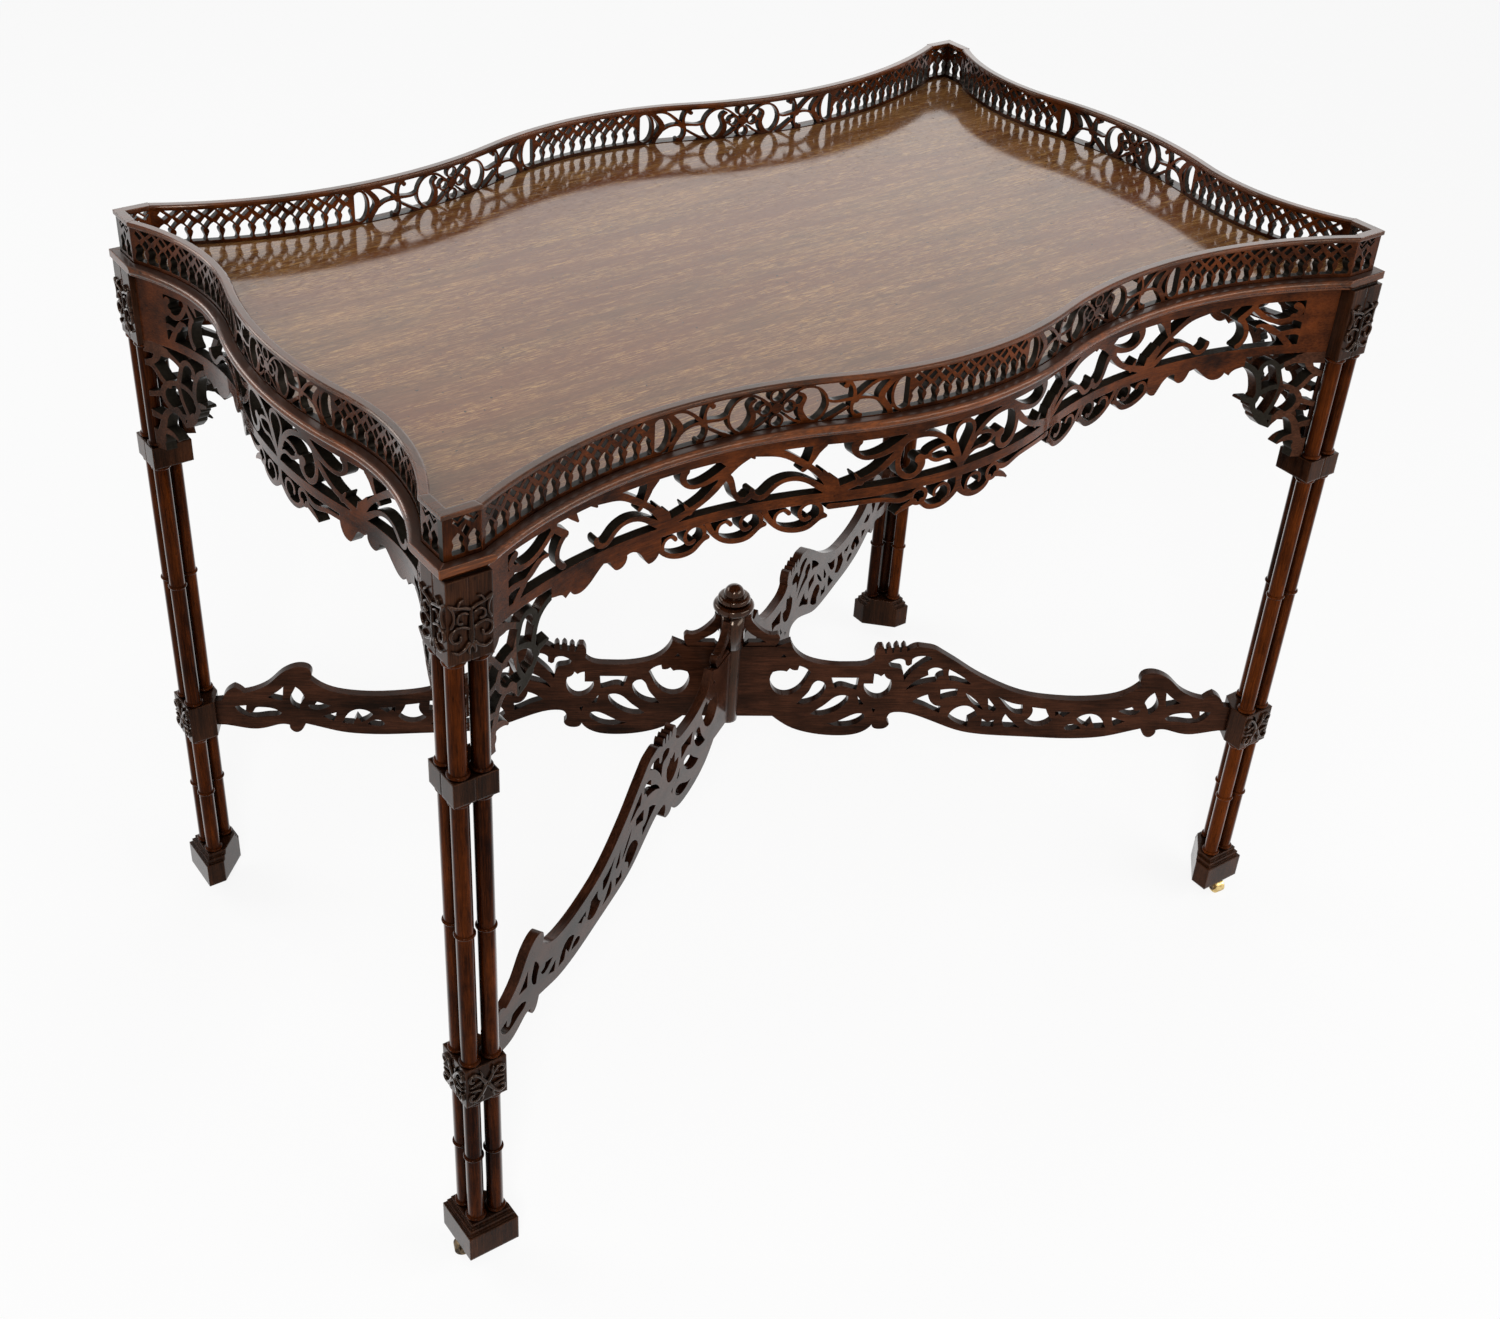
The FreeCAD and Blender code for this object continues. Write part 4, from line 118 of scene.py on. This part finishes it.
class Shader:
    """The node tree of a material or world, with short calls for adding nodes."""

    def __init__(self, owner, output="ShaderNodeOutputMaterial"):
        self.owner = owner
        owner.use_nodes = True
        self.tree = owner.node_tree
        self.tree.nodes.clear()
        self.out = self.tree.nodes.new(output)

    def add(self, kind, settings=None, **inputs):
        made = self.tree.nodes.new(kind)
        for key, value in (settings or {}).items():
            setattr(made, key, value)
        for key, value in inputs.items():
            self.put(made, key.replace("_", " "), value)
        return made

    def put(self, made, socket, value):
        """Links or sets an input, given by its name or by its number as text."""
        target = made.inputs[int(socket)] if socket.isdigit() else made.inputs[socket]
        if isinstance(value, bpy.types.NodeSocket):
            self.tree.links.new(value, target)
        else:
            target.default_value = value

    def math(self, operation, a, b=0.0, clamp=False):
        made = self.add("ShaderNodeMath", {"operation": operation, "use_clamp": clamp})
        self.put(made, "0", a)
        self.put(made, "1", b)
        return made.outputs[0]

    def ramp(self, value, stops):
        made = self.add("ShaderNodeValToRGB", None, Fac=value)
        points = made.color_ramp.elements
        while len(points) < len(stops):
            points.new(0.5)
        for point, (place, colour) in zip(points, stops):
            point.position = place
            point.color = colour
        return made.outputs[0]

    def steps(self, value, low, high, out_low=0.0, out_high=1.0):
        made = self.add("ShaderNodeMapRange", {"clamp": True, "interpolation_type": "SMOOTHSTEP"})
        for socket, number in enumerate((value, low, high, out_low, out_high)):
            self.put(made, str(socket), number)
        return made.outputs[0]

    def mix(self, factor, a, b):
        """A mix of two colours, whose sockets come after those for numbers and vectors."""
        made = self.add("ShaderNodeMix", {"data_type": "RGBA"})
        self.put(made, "0", factor)
        self.put(made, "6", a)
        self.put(made, "7", b)
        return made.outputs[2]

    def blend(self, factor, a, b):
        made = self.add("ShaderNodeMixShader")
        for socket, value in enumerate((factor, a.outputs[0], b.outputs[0])):
            self.put(made, str(socket), value)
        return made.outputs[0]

    def noise(self, place, scale, octaves, roughness, distortion=0.0):
        made = self.add("ShaderNodeTexNoise", None, Vector=place, Scale=scale, Detail=octaves,
                        Roughness=roughness, Distortion=distortion)
        return made.outputs["Fac"]

    def grain(self, place, axis, along, across, *noise):
        """Noise that runs long along one axis."""
        scale = tuple(across if crosses else along for crosses in GRAIN_AXES[axis])
        return self.noise(self.add("ShaderNodeMapping", None, Vector=place, Scale=scale).outputs[0], 1.0, *noise)

    def turned(self, place, angle):
        return self.add("ShaderNodeMapping", None, Vector=place, Rotation=(0.0, 0.0, angle)).outputs[0]

    def place(self):
        return self.add("ShaderNodeTexCoord").outputs["Object"]

    def normal(self):
        return self.add("ShaderNodeTexCoord").outputs["Normal"]

    def parts(self, vector):
        return self.add("ShaderNodeSeparateXYZ", None, Vector=vector).outputs

    def seen(self):
        """1 for rays from the camera, off gloss or through glass, and 0 for the others."""
        rays = self.add("ShaderNodeLightPath").outputs
        return self.math("MAXIMUM", rays["Is Camera Ray"],
                         self.math("MAXIMUM", rays["Is Glossy Ray"], rays["Is Transmission Ray"]))

    def end(self, surface):
        self.tree.links.new(surface, self.out.inputs["Surface"])
        return self.owner


def figured(s, place, axis, dark, light, streak, fleck, mottle):
    """The wood's figure as a colour, with its ribbon, fibre and pore values."""
    broad = s.grain(place, axis, *BROAD_FIGURE)
    ribbon = s.grain(place, axis, *RIBBON_FIGURE)
    fibre = s.grain(place, axis, *FIBRES)
    pore = s.steps(s.grain(place, axis, *PORES), *PORE_STEP)
    blotch = s.noise(place, *BLOTCHES)
    tone = s.math("ADD", s.math("MULTIPLY", broad, streak), s.math("MULTIPLY", ribbon, RIBBON_SHARE))
    tone = s.math("ADD", tone, s.math("MULTIPLY", fibre, fleck))
    tone = s.math("ADD", tone, s.math("MULTIPLY", blotch, mottle))
    average = (streak + RIBBON_SHARE + fleck + mottle) / 2
    between = tuple(a * (1 - MIDDLE_LIGHT) + b * MIDDLE_LIGHT for a, b in zip(dark, light))
    colour = s.ramp(s.steps(tone, *(average * end for end in TONE_RANGE)),
                    ((0.0, rgba(*dark)), (MIDDLE_STOP, rgba(*between)), (1.0, rgba(*light))))
    return colour, ribbon, fibre, pore


def flecked(s, colour, place, axis, ribbon, gold, dark):
    """Short golden flecks, strongest in the light ribbons, and small dark specks."""
    strength = s.math("MULTIPLY", s.steps(s.grain(place, axis, *GOLD_FLECKS), *FLECK_STEP),
                      s.steps(ribbon, *FLECK_RIBBON_STEP))
    colour = s.mix(strength, colour, rgba(*gold))
    speck = s.steps(s.noise(place, *SPECKS), *SPECK_STEP)
    return s.mix(speck, colour, scaled(dark, SPECK_DARKNESS))


def worn_edges(s, soft, place, wear):
    """How far the polish is worn: where the rounded normal leaves the true one, in patches."""
    true = s.add("ShaderNodeNewGeometry").outputs["Normal"]
    meet = s.add("ShaderNodeVectorMath", {"operation": "DOT_PRODUCT"})
    s.put(meet, "0", soft)
    s.put(meet, "1", true)
    worn = s.steps(meet.outputs["Value"], *EDGE_STEP, wear, 0.0)
    return s.math("MULTIPLY", worn, s.steps(s.noise(place, *WEAR_MARKS), *WEAR_STEP))


def wood(name, axis, dark, light, sawn=None, walls=None, rough=0.2, sheen=0.12, coat=0.0, streak=0.4,
         fleck=0.35, mottle=0.3, edge=0.0008, wear=0.55, turn=0.0, hollow_shade=0.95, gold=None, red=None,
         ledge=0.0):
    """Polished mahogany with its grain along one axis, which turn swings about Z.

    sawn is the colour of the dull walls that walls masks, edge the radius of the rounding seen at edges,
    hollow_shade the strength of the painted shade in hollows, and ledge how much rougher the faces that look up
    are, which also get painted shade.
    """
    s = Shader(bpy.data.materials.new(name))
    place = s.turned(s.place(), -turn) if turn else s.place()
    colour, ribbon, fibre, pore = figured(s, place, axis, dark, light, streak, fleck, mottle)
    if red:
        patch = s.grain(place, axis, *RED_PATCHES)
        colour = s.mix(s.steps(patch, *PATCH_STEP), colour, rgba(*red))
    if gold:
        colour = flecked(s, colour, place, axis, ribbon, gold, dark)
    colour = s.mix(s.math("MULTIPLY", pore, PORE_STRENGTH), colour, scaled(dark, PORE_DARKNESS))
    roughness = s.steps(s.noise(place, *POLISH_MARKS), *POLISH_STEP, *(rough * end for end in ROUGH_RANGE))
    if ledge:
        level = s.parts(s.normal())[2]
        roughness = s.math("ADD", roughness, s.steps(level, *LEVEL_STEP, 0.0, ledge), True)
        # Painted shade: faces that look up, such as the mouldings' ledge under the gallery, are darkened.
        colour = s.mix(s.steps(level, *LEVEL_STEP, 0.0, LEDGE_SHADE_STRENGTH), colour, scaled(dark, LEDGE_SHADE_DARKNESS))
    soft = s.add("ShaderNodeBevel", {"samples": SHADING_SAMPLES}, Radius=edge).outputs[0]
    colour = s.mix(worn_edges(s, soft, place, wear), colour, scaled(light, WORN_BRIGHTNESS))
    height = s.math("SUBTRACT", s.math("MULTIPLY", fibre, FIBRE_HEIGHT), s.math("MULTIPLY", pore, PORE_HEIGHT))
    if sawn:
        wall = walls(s, s.normal(), place)
        saw = s.noise(place, *SAW_MARKS)
        dust = s.ramp(saw, tuple(zip(SAWDUST_STOPS, (scaled(sawn, SAWDUST_DARKNESS), rgba(*sawn)))))
        colour = s.mix(wall, colour, dust)
        roughness = s.math("ADD", roughness, s.math("MULTIPLY", wall, WALL_ROUGHNESS), True)
        height = s.math("ADD", height, s.math("MULTIPLY", s.math("MULTIPLY", saw, wall), SAW_HEIGHT))
    # Painted shade: hollows, piercings and the gaps between parts are darkened where ambient occlusion finds other
    # surfaces near.
    hollow = s.add("ShaderNodeAmbientOcclusion", {"samples": SHADING_SAMPLES}, Distance=HOLLOW_REACH)
    painted_hollow_shade = s.math("MULTIPLY", s.steps(hollow.outputs["AO"], *HOLLOW_STEP), hollow_shade)
    colour = s.mix(painted_hollow_shade, colour, scaled(dark, HOLLOW_SHADE_DARKNESS))
    bump = s.add("ShaderNodeBump", None, Strength=SAWN_BUMP if sawn else WOOD_BUMP, Distance=WOOD_BUMP_DEPTH,
                 Height=height, Normal=soft)
    shader = s.add("ShaderNodeBsdfPrincipled", None, Base_Color=colour, Roughness=roughness,
                   Specular_IOR_Level=sheen, Specular_Tint=rgba(*POLISH_TINT), Normal=bump.outputs[0],
                   Coat_Roughness=COAT_ROUGHNESS, Coat_Normal=soft)
    if coat:
        aside = s.add("ShaderNodeLayerWeight", None, Blend=0.5, Normal=soft).outputs["Facing"]
        s.put(shader, "Coat Weight", s.steps(aside, *COAT_STEP, 0.0, coat))
    return s.end(shader.outputs[0])


def across(axis):
    """Walls are the faces that look away from one axis."""
    def mask(s, normal, place):
        return s.steps(s.math("ABSOLUTE", s.parts(normal)[axis]), *WALL_STEP)
    return mask


def across_by_place(limit):
    """Walls of plates round a corner: those further out in Y than the limit face along Y, others along X."""
    def mask(s, normal, place):
        along_x, along_y, _ = s.parts(normal)
        far_out = s.math("GREATER_THAN", s.math("ABSOLUTE", s.parts(place)[1]), limit)
        on_y = s.math("MULTIPLY", s.math("ABSOLUTE", along_y), far_out)
        on_x = s.math("MULTIPLY", s.math("ABSOLUTE", along_x), s.math("SUBTRACT", 1.0, far_out))
        return s.steps(s.math("ADD", on_x, on_y), *WALL_STEP)
    return mask


def metal(name, base, worn, rough):
    """Metal with a mottled patina."""
    s = Shader(bpy.data.materials.new(name))
    place = s.place()
    patina = s.noise(place, *PATINA)
    colour = s.mix(s.steps(patina, *PATINA_STEP), rgba(*base), rgba(*worn))
    roughness = s.steps(s.noise(place, *METAL_MARKS), *METAL_STEP, *(rough * end for end in METAL_ROUGH_RANGE))
    bump = s.add("ShaderNodeBump", None, Strength=METAL_BUMP, Distance=METAL_BUMP_DEPTH, Height=patina)
    shader = s.add("ShaderNodeBsdfPrincipled", None, Base_Color=colour, Metallic=1.0, Roughness=roughness,
                   Normal=bump.outputs[0])
    return s.end(shader.outputs[0])


SAWN = (0.016, 0.0138, 0.0102)
RED_DARK, BROWN_DARK = (0.006, 0.0012, 0.0005), (0.005, 0.0018, 0.0010)
BOARD_DARK, BOARD_LIGHT = (0.080, 0.028, 0.009), (0.250, 0.108, 0.038)
BOARD_GOLD, BOARD_RED = (0.52, 0.295, 0.100), (0.140, 0.038, 0.012)
MOULDING_RED, CAP_RED, FRET_RED = (0.215, 0.052, 0.009), (0.135, 0.031, 0.005), (0.124, 0.029, 0.006)
COLUMN_RED = (0.125, 0.027, 0.004)
BRACKET_BROWN, ARM_BROWN = (0.095, 0.034, 0.017), (0.070, 0.024, 0.012)
HUB_BROWN, BLOCK_BROWN, RELIEF_BROWN = (0.068, 0.019, 0.007), (0.060, 0.020, 0.008), (0.050, 0.016, 0.006)
BRASS, BRASS_WORN = (0.80, 0.60, 0.26), (0.42, 0.29, 0.12)
DULL_BRASS, DULL_BRASS_WORN = (0.16, 0.11, 0.06), (0.05, 0.038, 0.028)
STEEL, STEEL_WORN = (0.30, 0.29, 0.28), (0.12, 0.11, 0.10)
CORNER_WALLS_FROM, BRACKET_WALLS_FROM = 0.2795, 0.266
FRET_LOOK = {"rough": 0.15, "sheen": 0.08, "coat": 0.5, "mottle": 0.8, "wear": 0.8}

MATERIALS = {
    "board": wood("board wood", "x", BOARD_DARK, BOARD_LIGHT, rough=0.09, sheen=0.34, streak=0.45, fleck=0.6,
                  hollow_shade=0.6, gold=BOARD_GOLD, red=BOARD_RED),
    "corner": wood("fret at a corner", "z", RED_DARK, FRET_RED, SAWN, across_by_place(CORNER_WALLS_FROM),
                   **FRET_LOOK),
    "bracket": wood("bracket wood", "x", BROWN_DARK, BRACKET_BROWN, SAWN, across_by_place(BRACKET_WALLS_FROM),
                    rough=0.25, sheen=0.08, coat=0.4),
    "column": wood("column wood", "z", RED_DARK, COLUMN_RED, rough=0.1, sheen=0.03, coat=1.0, streak=0.5,
                   edge=0.0004),
    "hub": wood("hub wood", "z", BROWN_DARK, HUB_BROWN, rough=0.1, sheen=0.3, coat=0.9, edge=0.0005),
    "block": wood("block wood", "z", BROWN_DARK, BLOCK_BROWN, rough=0.15, sheen=0.08, coat=0.4, edge=0.0022),
    "relief": wood("relief wood", "z", BROWN_DARK, RELIEF_BROWN, rough=0.08, sheen=0.24, coat=0.8, edge=0.0004),
    "brass": metal("brass", BRASS, BRASS_WORN, 0.26),
    "dull brass": metal("dull brass", DULL_BRASS, DULL_BRASS_WORN, 0.42),
    "steel": metal("screw steel", STEEL, STEEL_WORN, 0.4),
}
for axis, out_of_plate in (("x", 1), ("y", 0)):
    line = " along " + axis.upper()
    MATERIALS["moulding " + axis] = wood("moulding" + line, axis, RED_DARK, MOULDING_RED, rough=0.1, sheen=0.34,
                                         coat=0.4, edge=0.0012, ledge=0.4)
    MATERIALS["cap " + axis] = wood("cap" + line, axis, RED_DARK, CAP_RED, rough=0.1, sheen=0.36, coat=0.4,
                                    edge=0.0014)
    MATERIALS["fret " + axis] = wood("fret" + line, axis, RED_DARK, FRET_RED, SAWN, across(out_of_plate),
                                     **FRET_LOOK)
for key, name, turn in (("arm", "arm wood", ARM_TURN), ("arm other", "arm wood other way", -ARM_TURN)):
    MATERIALS[key] = wood(name, "x", BROWN_DARK, ARM_BROWN, rough=0.2, sheen=0.06, coat=0.28, turn=turn)


def finish_of(name):
    """The material that a CAD node takes."""
    axis = "x" if name.endswith(("_front", "_back")) else "y"
    if name == "top_board":
        return "board"
    if name.startswith("edge_moulding"):
        return "moulding " + axis
    if name.startswith("cap_rail"):
        return "cap " + axis
    if name == "corner_caps":
        return "cap x"
    if name.startswith("gallery_corner"):
        return "corner"
    if name.startswith("brackets"):
        return "bracket"
    if name.startswith(("gallery", "apron")):
        return "fret " + axis
    if name.startswith("leg_columns"):
        return "column"
    if name in ("hub_post", "finial"):
        return "hub"
    if name.startswith("stretcher_arm") or name == "hub_ears":
        return "arm" if name.endswith(("front_left", "back_right")) else "arm other"
    if name == "castor_screws":
        return "steel"
    if name.startswith("castor"):
        return "brass" if name == "castor_wheel_front_right" else "dull brass"
    return "block"


for name, node in nodes.items():
    node.data.materials.clear()
    node.data.materials.append(MATERIALS[finish_of(name)])


def wooden_piece(name, vertices, faces, material):
    """A carved or turned piece that is fixed to the table, smooth apart from its end faces."""
    mesh = bpy.data.meshes.new(name)
    mesh.from_pydata(vertices, [], faces)
    mesh.validate()
    outward = bmesh.new()
    outward.from_mesh(mesh)
    bmesh.ops.recalc_face_normals(outward, faces=outward.faces)
    outward.to_mesh(mesh)
    outward.free()
    for face in mesh.polygons:
        face.use_smooth = len(face.vertices) == 4
    mesh.materials.append(MATERIALS[material])
    piece = bpy.data.objects.new(name, mesh)
    bpy.context.scene.collection.objects.link(piece)
    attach(piece, "table")


# Blind frets in relief on the outward faces of the blocks

STEPS_PER_SPAN = 5
STRAP_SECTION = ((-1.0, 0.0), (-0.95, 0.62), (-0.62, 0.95), (0.0, 1.0), (0.62, 0.95), (0.95, 0.62), (1.0, 0.0))
STRAP_HEIGHT_MM, STRAP_SINK_MM = 2.5, 0.05
STRAP_WIDTH = 0.8  # share of the widths in the tables
TIP_FIRST, TIP_STEPS, TIP_HEIGHT = 0.35, 2.2, 0.4  # a strap's end: its first step, its steps and its height
STRETCHER_BLOCK_HALF_MM, TOP_BLOCK_HALF_MM = 18.6, 17.8

# Straps on one half of a face: places across from its middle and up from the block's foot, then widths, in mm
TOP_RELIEF = (
    (((0, 44), (0, 34), (0, 22), (0, 14)), (3.4, 4.6, 7, 3)),
    (((0, 42.5), (5, 45), (11, 46.5), (16.6, 49.5)), (3.4, 3, 3, 3.6)),
    (((16.8, 50.5), (13.6, 44), (13.2, 37), (15.8, 31)), (3, 2.4, 2.2, 2.8)),
    (((1.5, 39), (6.5, 41.5), (10.5, 38.8), (9.8, 34), (5.8, 33.4)), (2.4, 2.4, 2.4, 2.4, 3.2)),
    (((1, 27), (6, 30), (11.5, 30.5), (15.8, 26), (14.2, 20), (9.2, 19.6), (8.4, 24)),
     (3, 2.6, 2.6, 2.6, 2.8, 2.6, 3.4)),
    (((1.5, 17), (5, 12.5), (10.5, 10), (15.6, 13)), (4, 3, 2.4, 1.6)),
    (((0, 16), (2.4, 11), (2, 6.5)), (5, 3, 1.4)),
    (((10.5, 46), (8.4, 50.5), (5, 52)), (2.4, 2.2, 1.4)),
)
BLOCK_RELIEF = (
    (((0.6, 20.5), (3.4, 26), (6.4, 31), (11, 35), (15.2, 33), (14.8, 28.6), (11.2, 28)),
     (5.4, 4.4, 3.6, 3.2, 3, 2.8, 3.4)),
    (((5.4, 29), (4.6, 33), (6.2, 37.2)), (2.8, 2.6, 1.6)),
    (((5, 25.4), (10.4, 23.6), (15.8, 22.4)), (3.2, 2.8, 1.8)),
)


def smooth_path(points):
    """A Catmull-Rom line through points, with the same number of steps in each span."""
    knots = [points[0]] + list(points) + [points[-1]]
    line = []
    for a, b, c, e in zip(knots, knots[1:], knots[2:], knots[3:]):
        for i in range(STEPS_PER_SPAN):
            t = i / STEPS_PER_SPAN
            line.append(tuple(0.5 * (2 * q + (r - p) * t + (2 * p - 5 * q + 4 * r - w) * t * t
                                     + (3 * q - p - 3 * r + w) * t ** 3) for p, q, r, w in zip(a, b, c, e)))
    line.append(tuple(points[-1]))
    return line


def strap(vertices, faces, points, widths):
    """Adds one carved strap of changing width with a rounded top, in places (across, up, out)."""
    line = smooth_path(points)
    start = len(vertices)
    last = len(line) - 1
    for i, (u, v) in enumerate(line):
        before, after = line[max(i - 1, 0)], line[min(i + 1, last)]
        run, rise = after[0] - before[0], after[1] - before[1]
        length = math.hypot(run, rise) or 1.0
        side = (-rise / length, run / length)
        place = i / last * (len(widths) - 1)
        k = min(int(place), len(widths) - 2)
        width = widths[k] + (widths[k + 1] - widths[k]) * (place - k)
        tip = math.sin(math.pi / 2 * min(1.0, (min(i, last - i) + TIP_FIRST) / TIP_STEPS))
        for w, h in STRAP_SECTION:
            reach = w * width / 2 * tip
            out = h * STRAP_HEIGHT_MM * (TIP_HEIGHT + (1 - TIP_HEIGHT) * tip)
            vertices.append((u + side[0] * reach, v + side[1] * reach, out))
    count = len(STRAP_SECTION)
    for i in range(last):
        for j in range(count - 1):
            a = start + i * count + j
            faces.append((a, a + 1, a + count + 1, a + count))
    faces.append(tuple(start + j for j in range(count)))
    faces.append(tuple(start + last * count + j for j in reversed(range(count))))


def relief(name, table, foot, half, mirrors, corner):
    """Blind frets on a block's two outward faces, from its foot's height and half its width, in millimetres."""
    vertices, faces = [], []
    for flip_u, flip_v in mirrors:
        for points, widths in table:
            line = [(flip_u * u, v if flip_v is None else flip_v - v) for u, v in points]
            strap(vertices, faces, line, [STRAP_WIDTH * width for width in widths])
    _, sx, sy = corner
    leg_x, leg_y = (distance * MM_PER_M for distance in LEG)
    placed, all_faces = [], []
    for faces_y in (True, False):
        start = len(placed)
        for u, v, out in vertices:
            reach = half + out - STRAP_SINK_MM
            if faces_y:
                spot = (sx * leg_x + u, sy * (leg_y + reach), foot + v)
            else:
                spot = (sx * (leg_x + reach), sy * leg_y + u, foot + v)
            placed.append(tuple(value / MM_PER_M for value in spot))
        all_faces += [tuple(start + i for i in face) for face in faces]
    wooden_piece(name, placed, all_faces, "relief")


for corner in CORNERS:
    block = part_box("stretcher_block_" + corner[0])
    low, high = block[0].z * MM_PER_M, block[1].z * MM_PER_M
    relief("stretcher_fret_" + corner[0], BLOCK_RELIEF, low, STRETCHER_BLOCK_HALF_MM,
           ((1, None), (-1, None), (1, high - low), (-1, high - low)), corner)
    relief("top_fret_" + corner[0], TOP_RELIEF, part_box("leg_top_block_" + corner[0])[0].z * MM_PER_M,
           TOP_BLOCK_HALF_MM, ((1, None), (-1, None)), corner)


# The turned outside of the centre post and of the finial's stem

POST_SIDES = 48
POST_FOOT = ((0.0, 0.0088), (0.0007, 0.0099), (0.002, 0.0104))  # height above the post's foot, and radius
POST_RADIUS, STEM_RADIUS = 0.0104, 0.0124
SEAM_RADIUS, SEAM_HALF = 0.0098, 0.0008
HEAD_RADIUS = 0.0128  # the finial's head starts where it is wider than this


def turned_post():
    low, seam = (corner.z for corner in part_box("hub_post"))
    finial = [nodes["finial"].matrix_world @ vertex.co for vertex in nodes["finial"].data.vertices]
    high = min(place.z for place in finial if math.hypot(place.x, place.y) > HEAD_RADIUS)
    profile = [(low + height, radius) for height, radius in POST_FOOT]
    profile += [(seam - SEAM_HALF, POST_RADIUS), (seam, SEAM_RADIUS), (seam + SEAM_HALF, STEM_RADIUS),
                (high, STEM_RADIUS)]
    angles = [2 * math.pi * i / POST_SIDES for i in range(POST_SIDES)]
    vertices = [(radius * math.cos(angle), radius * math.sin(angle), z)
                for z, radius in profile for angle in angles]
    top = (len(profile) - 1) * POST_SIDES
    faces = [(ring + i, ring + (i + 1) % POST_SIDES, ring + POST_SIDES + (i + 1) % POST_SIDES,
              ring + POST_SIDES + i) for ring in range(0, top, POST_SIDES) for i in range(POST_SIDES)]
    faces.append(tuple(reversed(range(POST_SIDES))))
    faces.append(tuple(range(top, top + POST_SIDES)))
    wooden_piece("hub_post_turning", vertices, faces, "hub")


turned_post()


# Floor, background, light and camera

FLOOR_HALF, FLOOR_GREY = 30.0, 0.9
FLOOR_WHITENESS = 0.87  # share of plain white in the floor as the camera and gloss see it
SOFT_LIGHT, BACKGROUND_WHITE = 0.22, 1.0

# Lamps: place, what they aim at, width, height and watts
LAMPS = {
    "behind": ((2.5, 3.3, 2.3), (0, 0, 0.6), 4.2, 2.4, 34),
    "top": ((-0.3, -0.4, 3.2), (0, 0, 0.5), 2.4, 2.4, 8),
    "key": ((-1.7, -2.2, 2.2), (0, 0, 0.5), 0.6, 0.8, 48),
    "left": ((-2.0, 2.4, 1.9), (-0.4, 0, 0.7), 2.6, 0.7, 40),
    "right": ((1.7, -2.4, 1.7), (0, -0.2, 0.7), 3.0, 0.8, 48),
}

# The camera, as it was solved from the photograph
CAMERA_PLACE = (-0.95054, -1.24945, 1.40426)
CAMERA_LINE = (0.46436, 0.66589, -0.58392)
CAMERA_ROLL_DEG = 2.0914
LENS_MM, SENSOR_MM = 46.98, 36.0
CAMERA_SHIFT = (0.0574, 0.0055)
CAMERA_CLIP = (0.05, 100.0)


def make_floor():
    mesh = bpy.data.meshes.new("floor")
    mesh.from_pydata([(sx * FLOOR_HALF, sy * FLOOR_HALF, 0) for sx, sy in ((-1, -1), (1, -1), (1, 1), (-1, 1))], [],
                     [(0, 1, 2, 3)])
    floor = bpy.data.objects.new("floor", mesh)
    bpy.context.scene.collection.objects.link(floor)
    s = Shader(bpy.data.materials.new("pale floor"))
    plain = s.add("ShaderNodeBsdfDiffuse", None, Color=rgba(FLOOR_GREY, FLOOR_GREY, FLOOR_GREY))
    white = s.add("ShaderNodeEmission", None, Color=rgba(1, 1, 1), Strength=1.0)
    mesh.materials.append(s.end(s.blend(s.math("MULTIPLY", s.seen(), FLOOR_WHITENESS), plain, white)))


def make_world():
    world = bpy.data.worlds.new("studio")
    bpy.context.scene.world = world
    s = Shader(world, "ShaderNodeOutputWorld")
    soft = s.add("ShaderNodeBackground", None, Color=rgba(1, 1, 1), Strength=SOFT_LIGHT)
    white = s.add("ShaderNodeBackground", None, Color=rgba(1, 1, 1), Strength=BACKGROUND_WHITE)
    s.end(s.blend(s.seen(), soft, white))


def make_lamp(name, place, target, width, height, watts):
    lamp = bpy.data.lights.new(name, "AREA")
    lamp.shape = "RECTANGLE"
    lamp.size, lamp.size_y = width, height
    lamp.energy = watts
    obj = bpy.data.objects.new(name, lamp)
    bpy.context.scene.collection.objects.link(obj)
    obj.location = place
    obj.rotation_euler = (Vector(target) - Vector(place)).to_track_quat("-Z", "Y").to_euler()


def make_camera():
    data = bpy.data.cameras.new("camera")
    data.lens = LENS_MM
    data.sensor_width = SENSOR_MM
    data.shift_x, data.shift_y = CAMERA_SHIFT
    data.clip_start, data.clip_end = CAMERA_CLIP
    camera = bpy.data.objects.new("camera", data)
    bpy.context.scene.collection.objects.link(camera)
    camera.location = CAMERA_PLACE
    camera.rotation_mode = "QUATERNION"
    facing = Vector(CAMERA_LINE).to_track_quat("-Z", "Y")
    roll = Matrix.Rotation(math.radians(CAMERA_ROLL_DEG), 3, "Z").to_quaternion()
    camera.rotation_quaternion = facing @ roll
    bpy.context.scene.camera = camera


make_floor()
make_world()
for name, settings in LAMPS.items():
    make_lamp(name, *settings)
make_camera()
bpy.context.scene.view_settings.view_transform = "Standard"
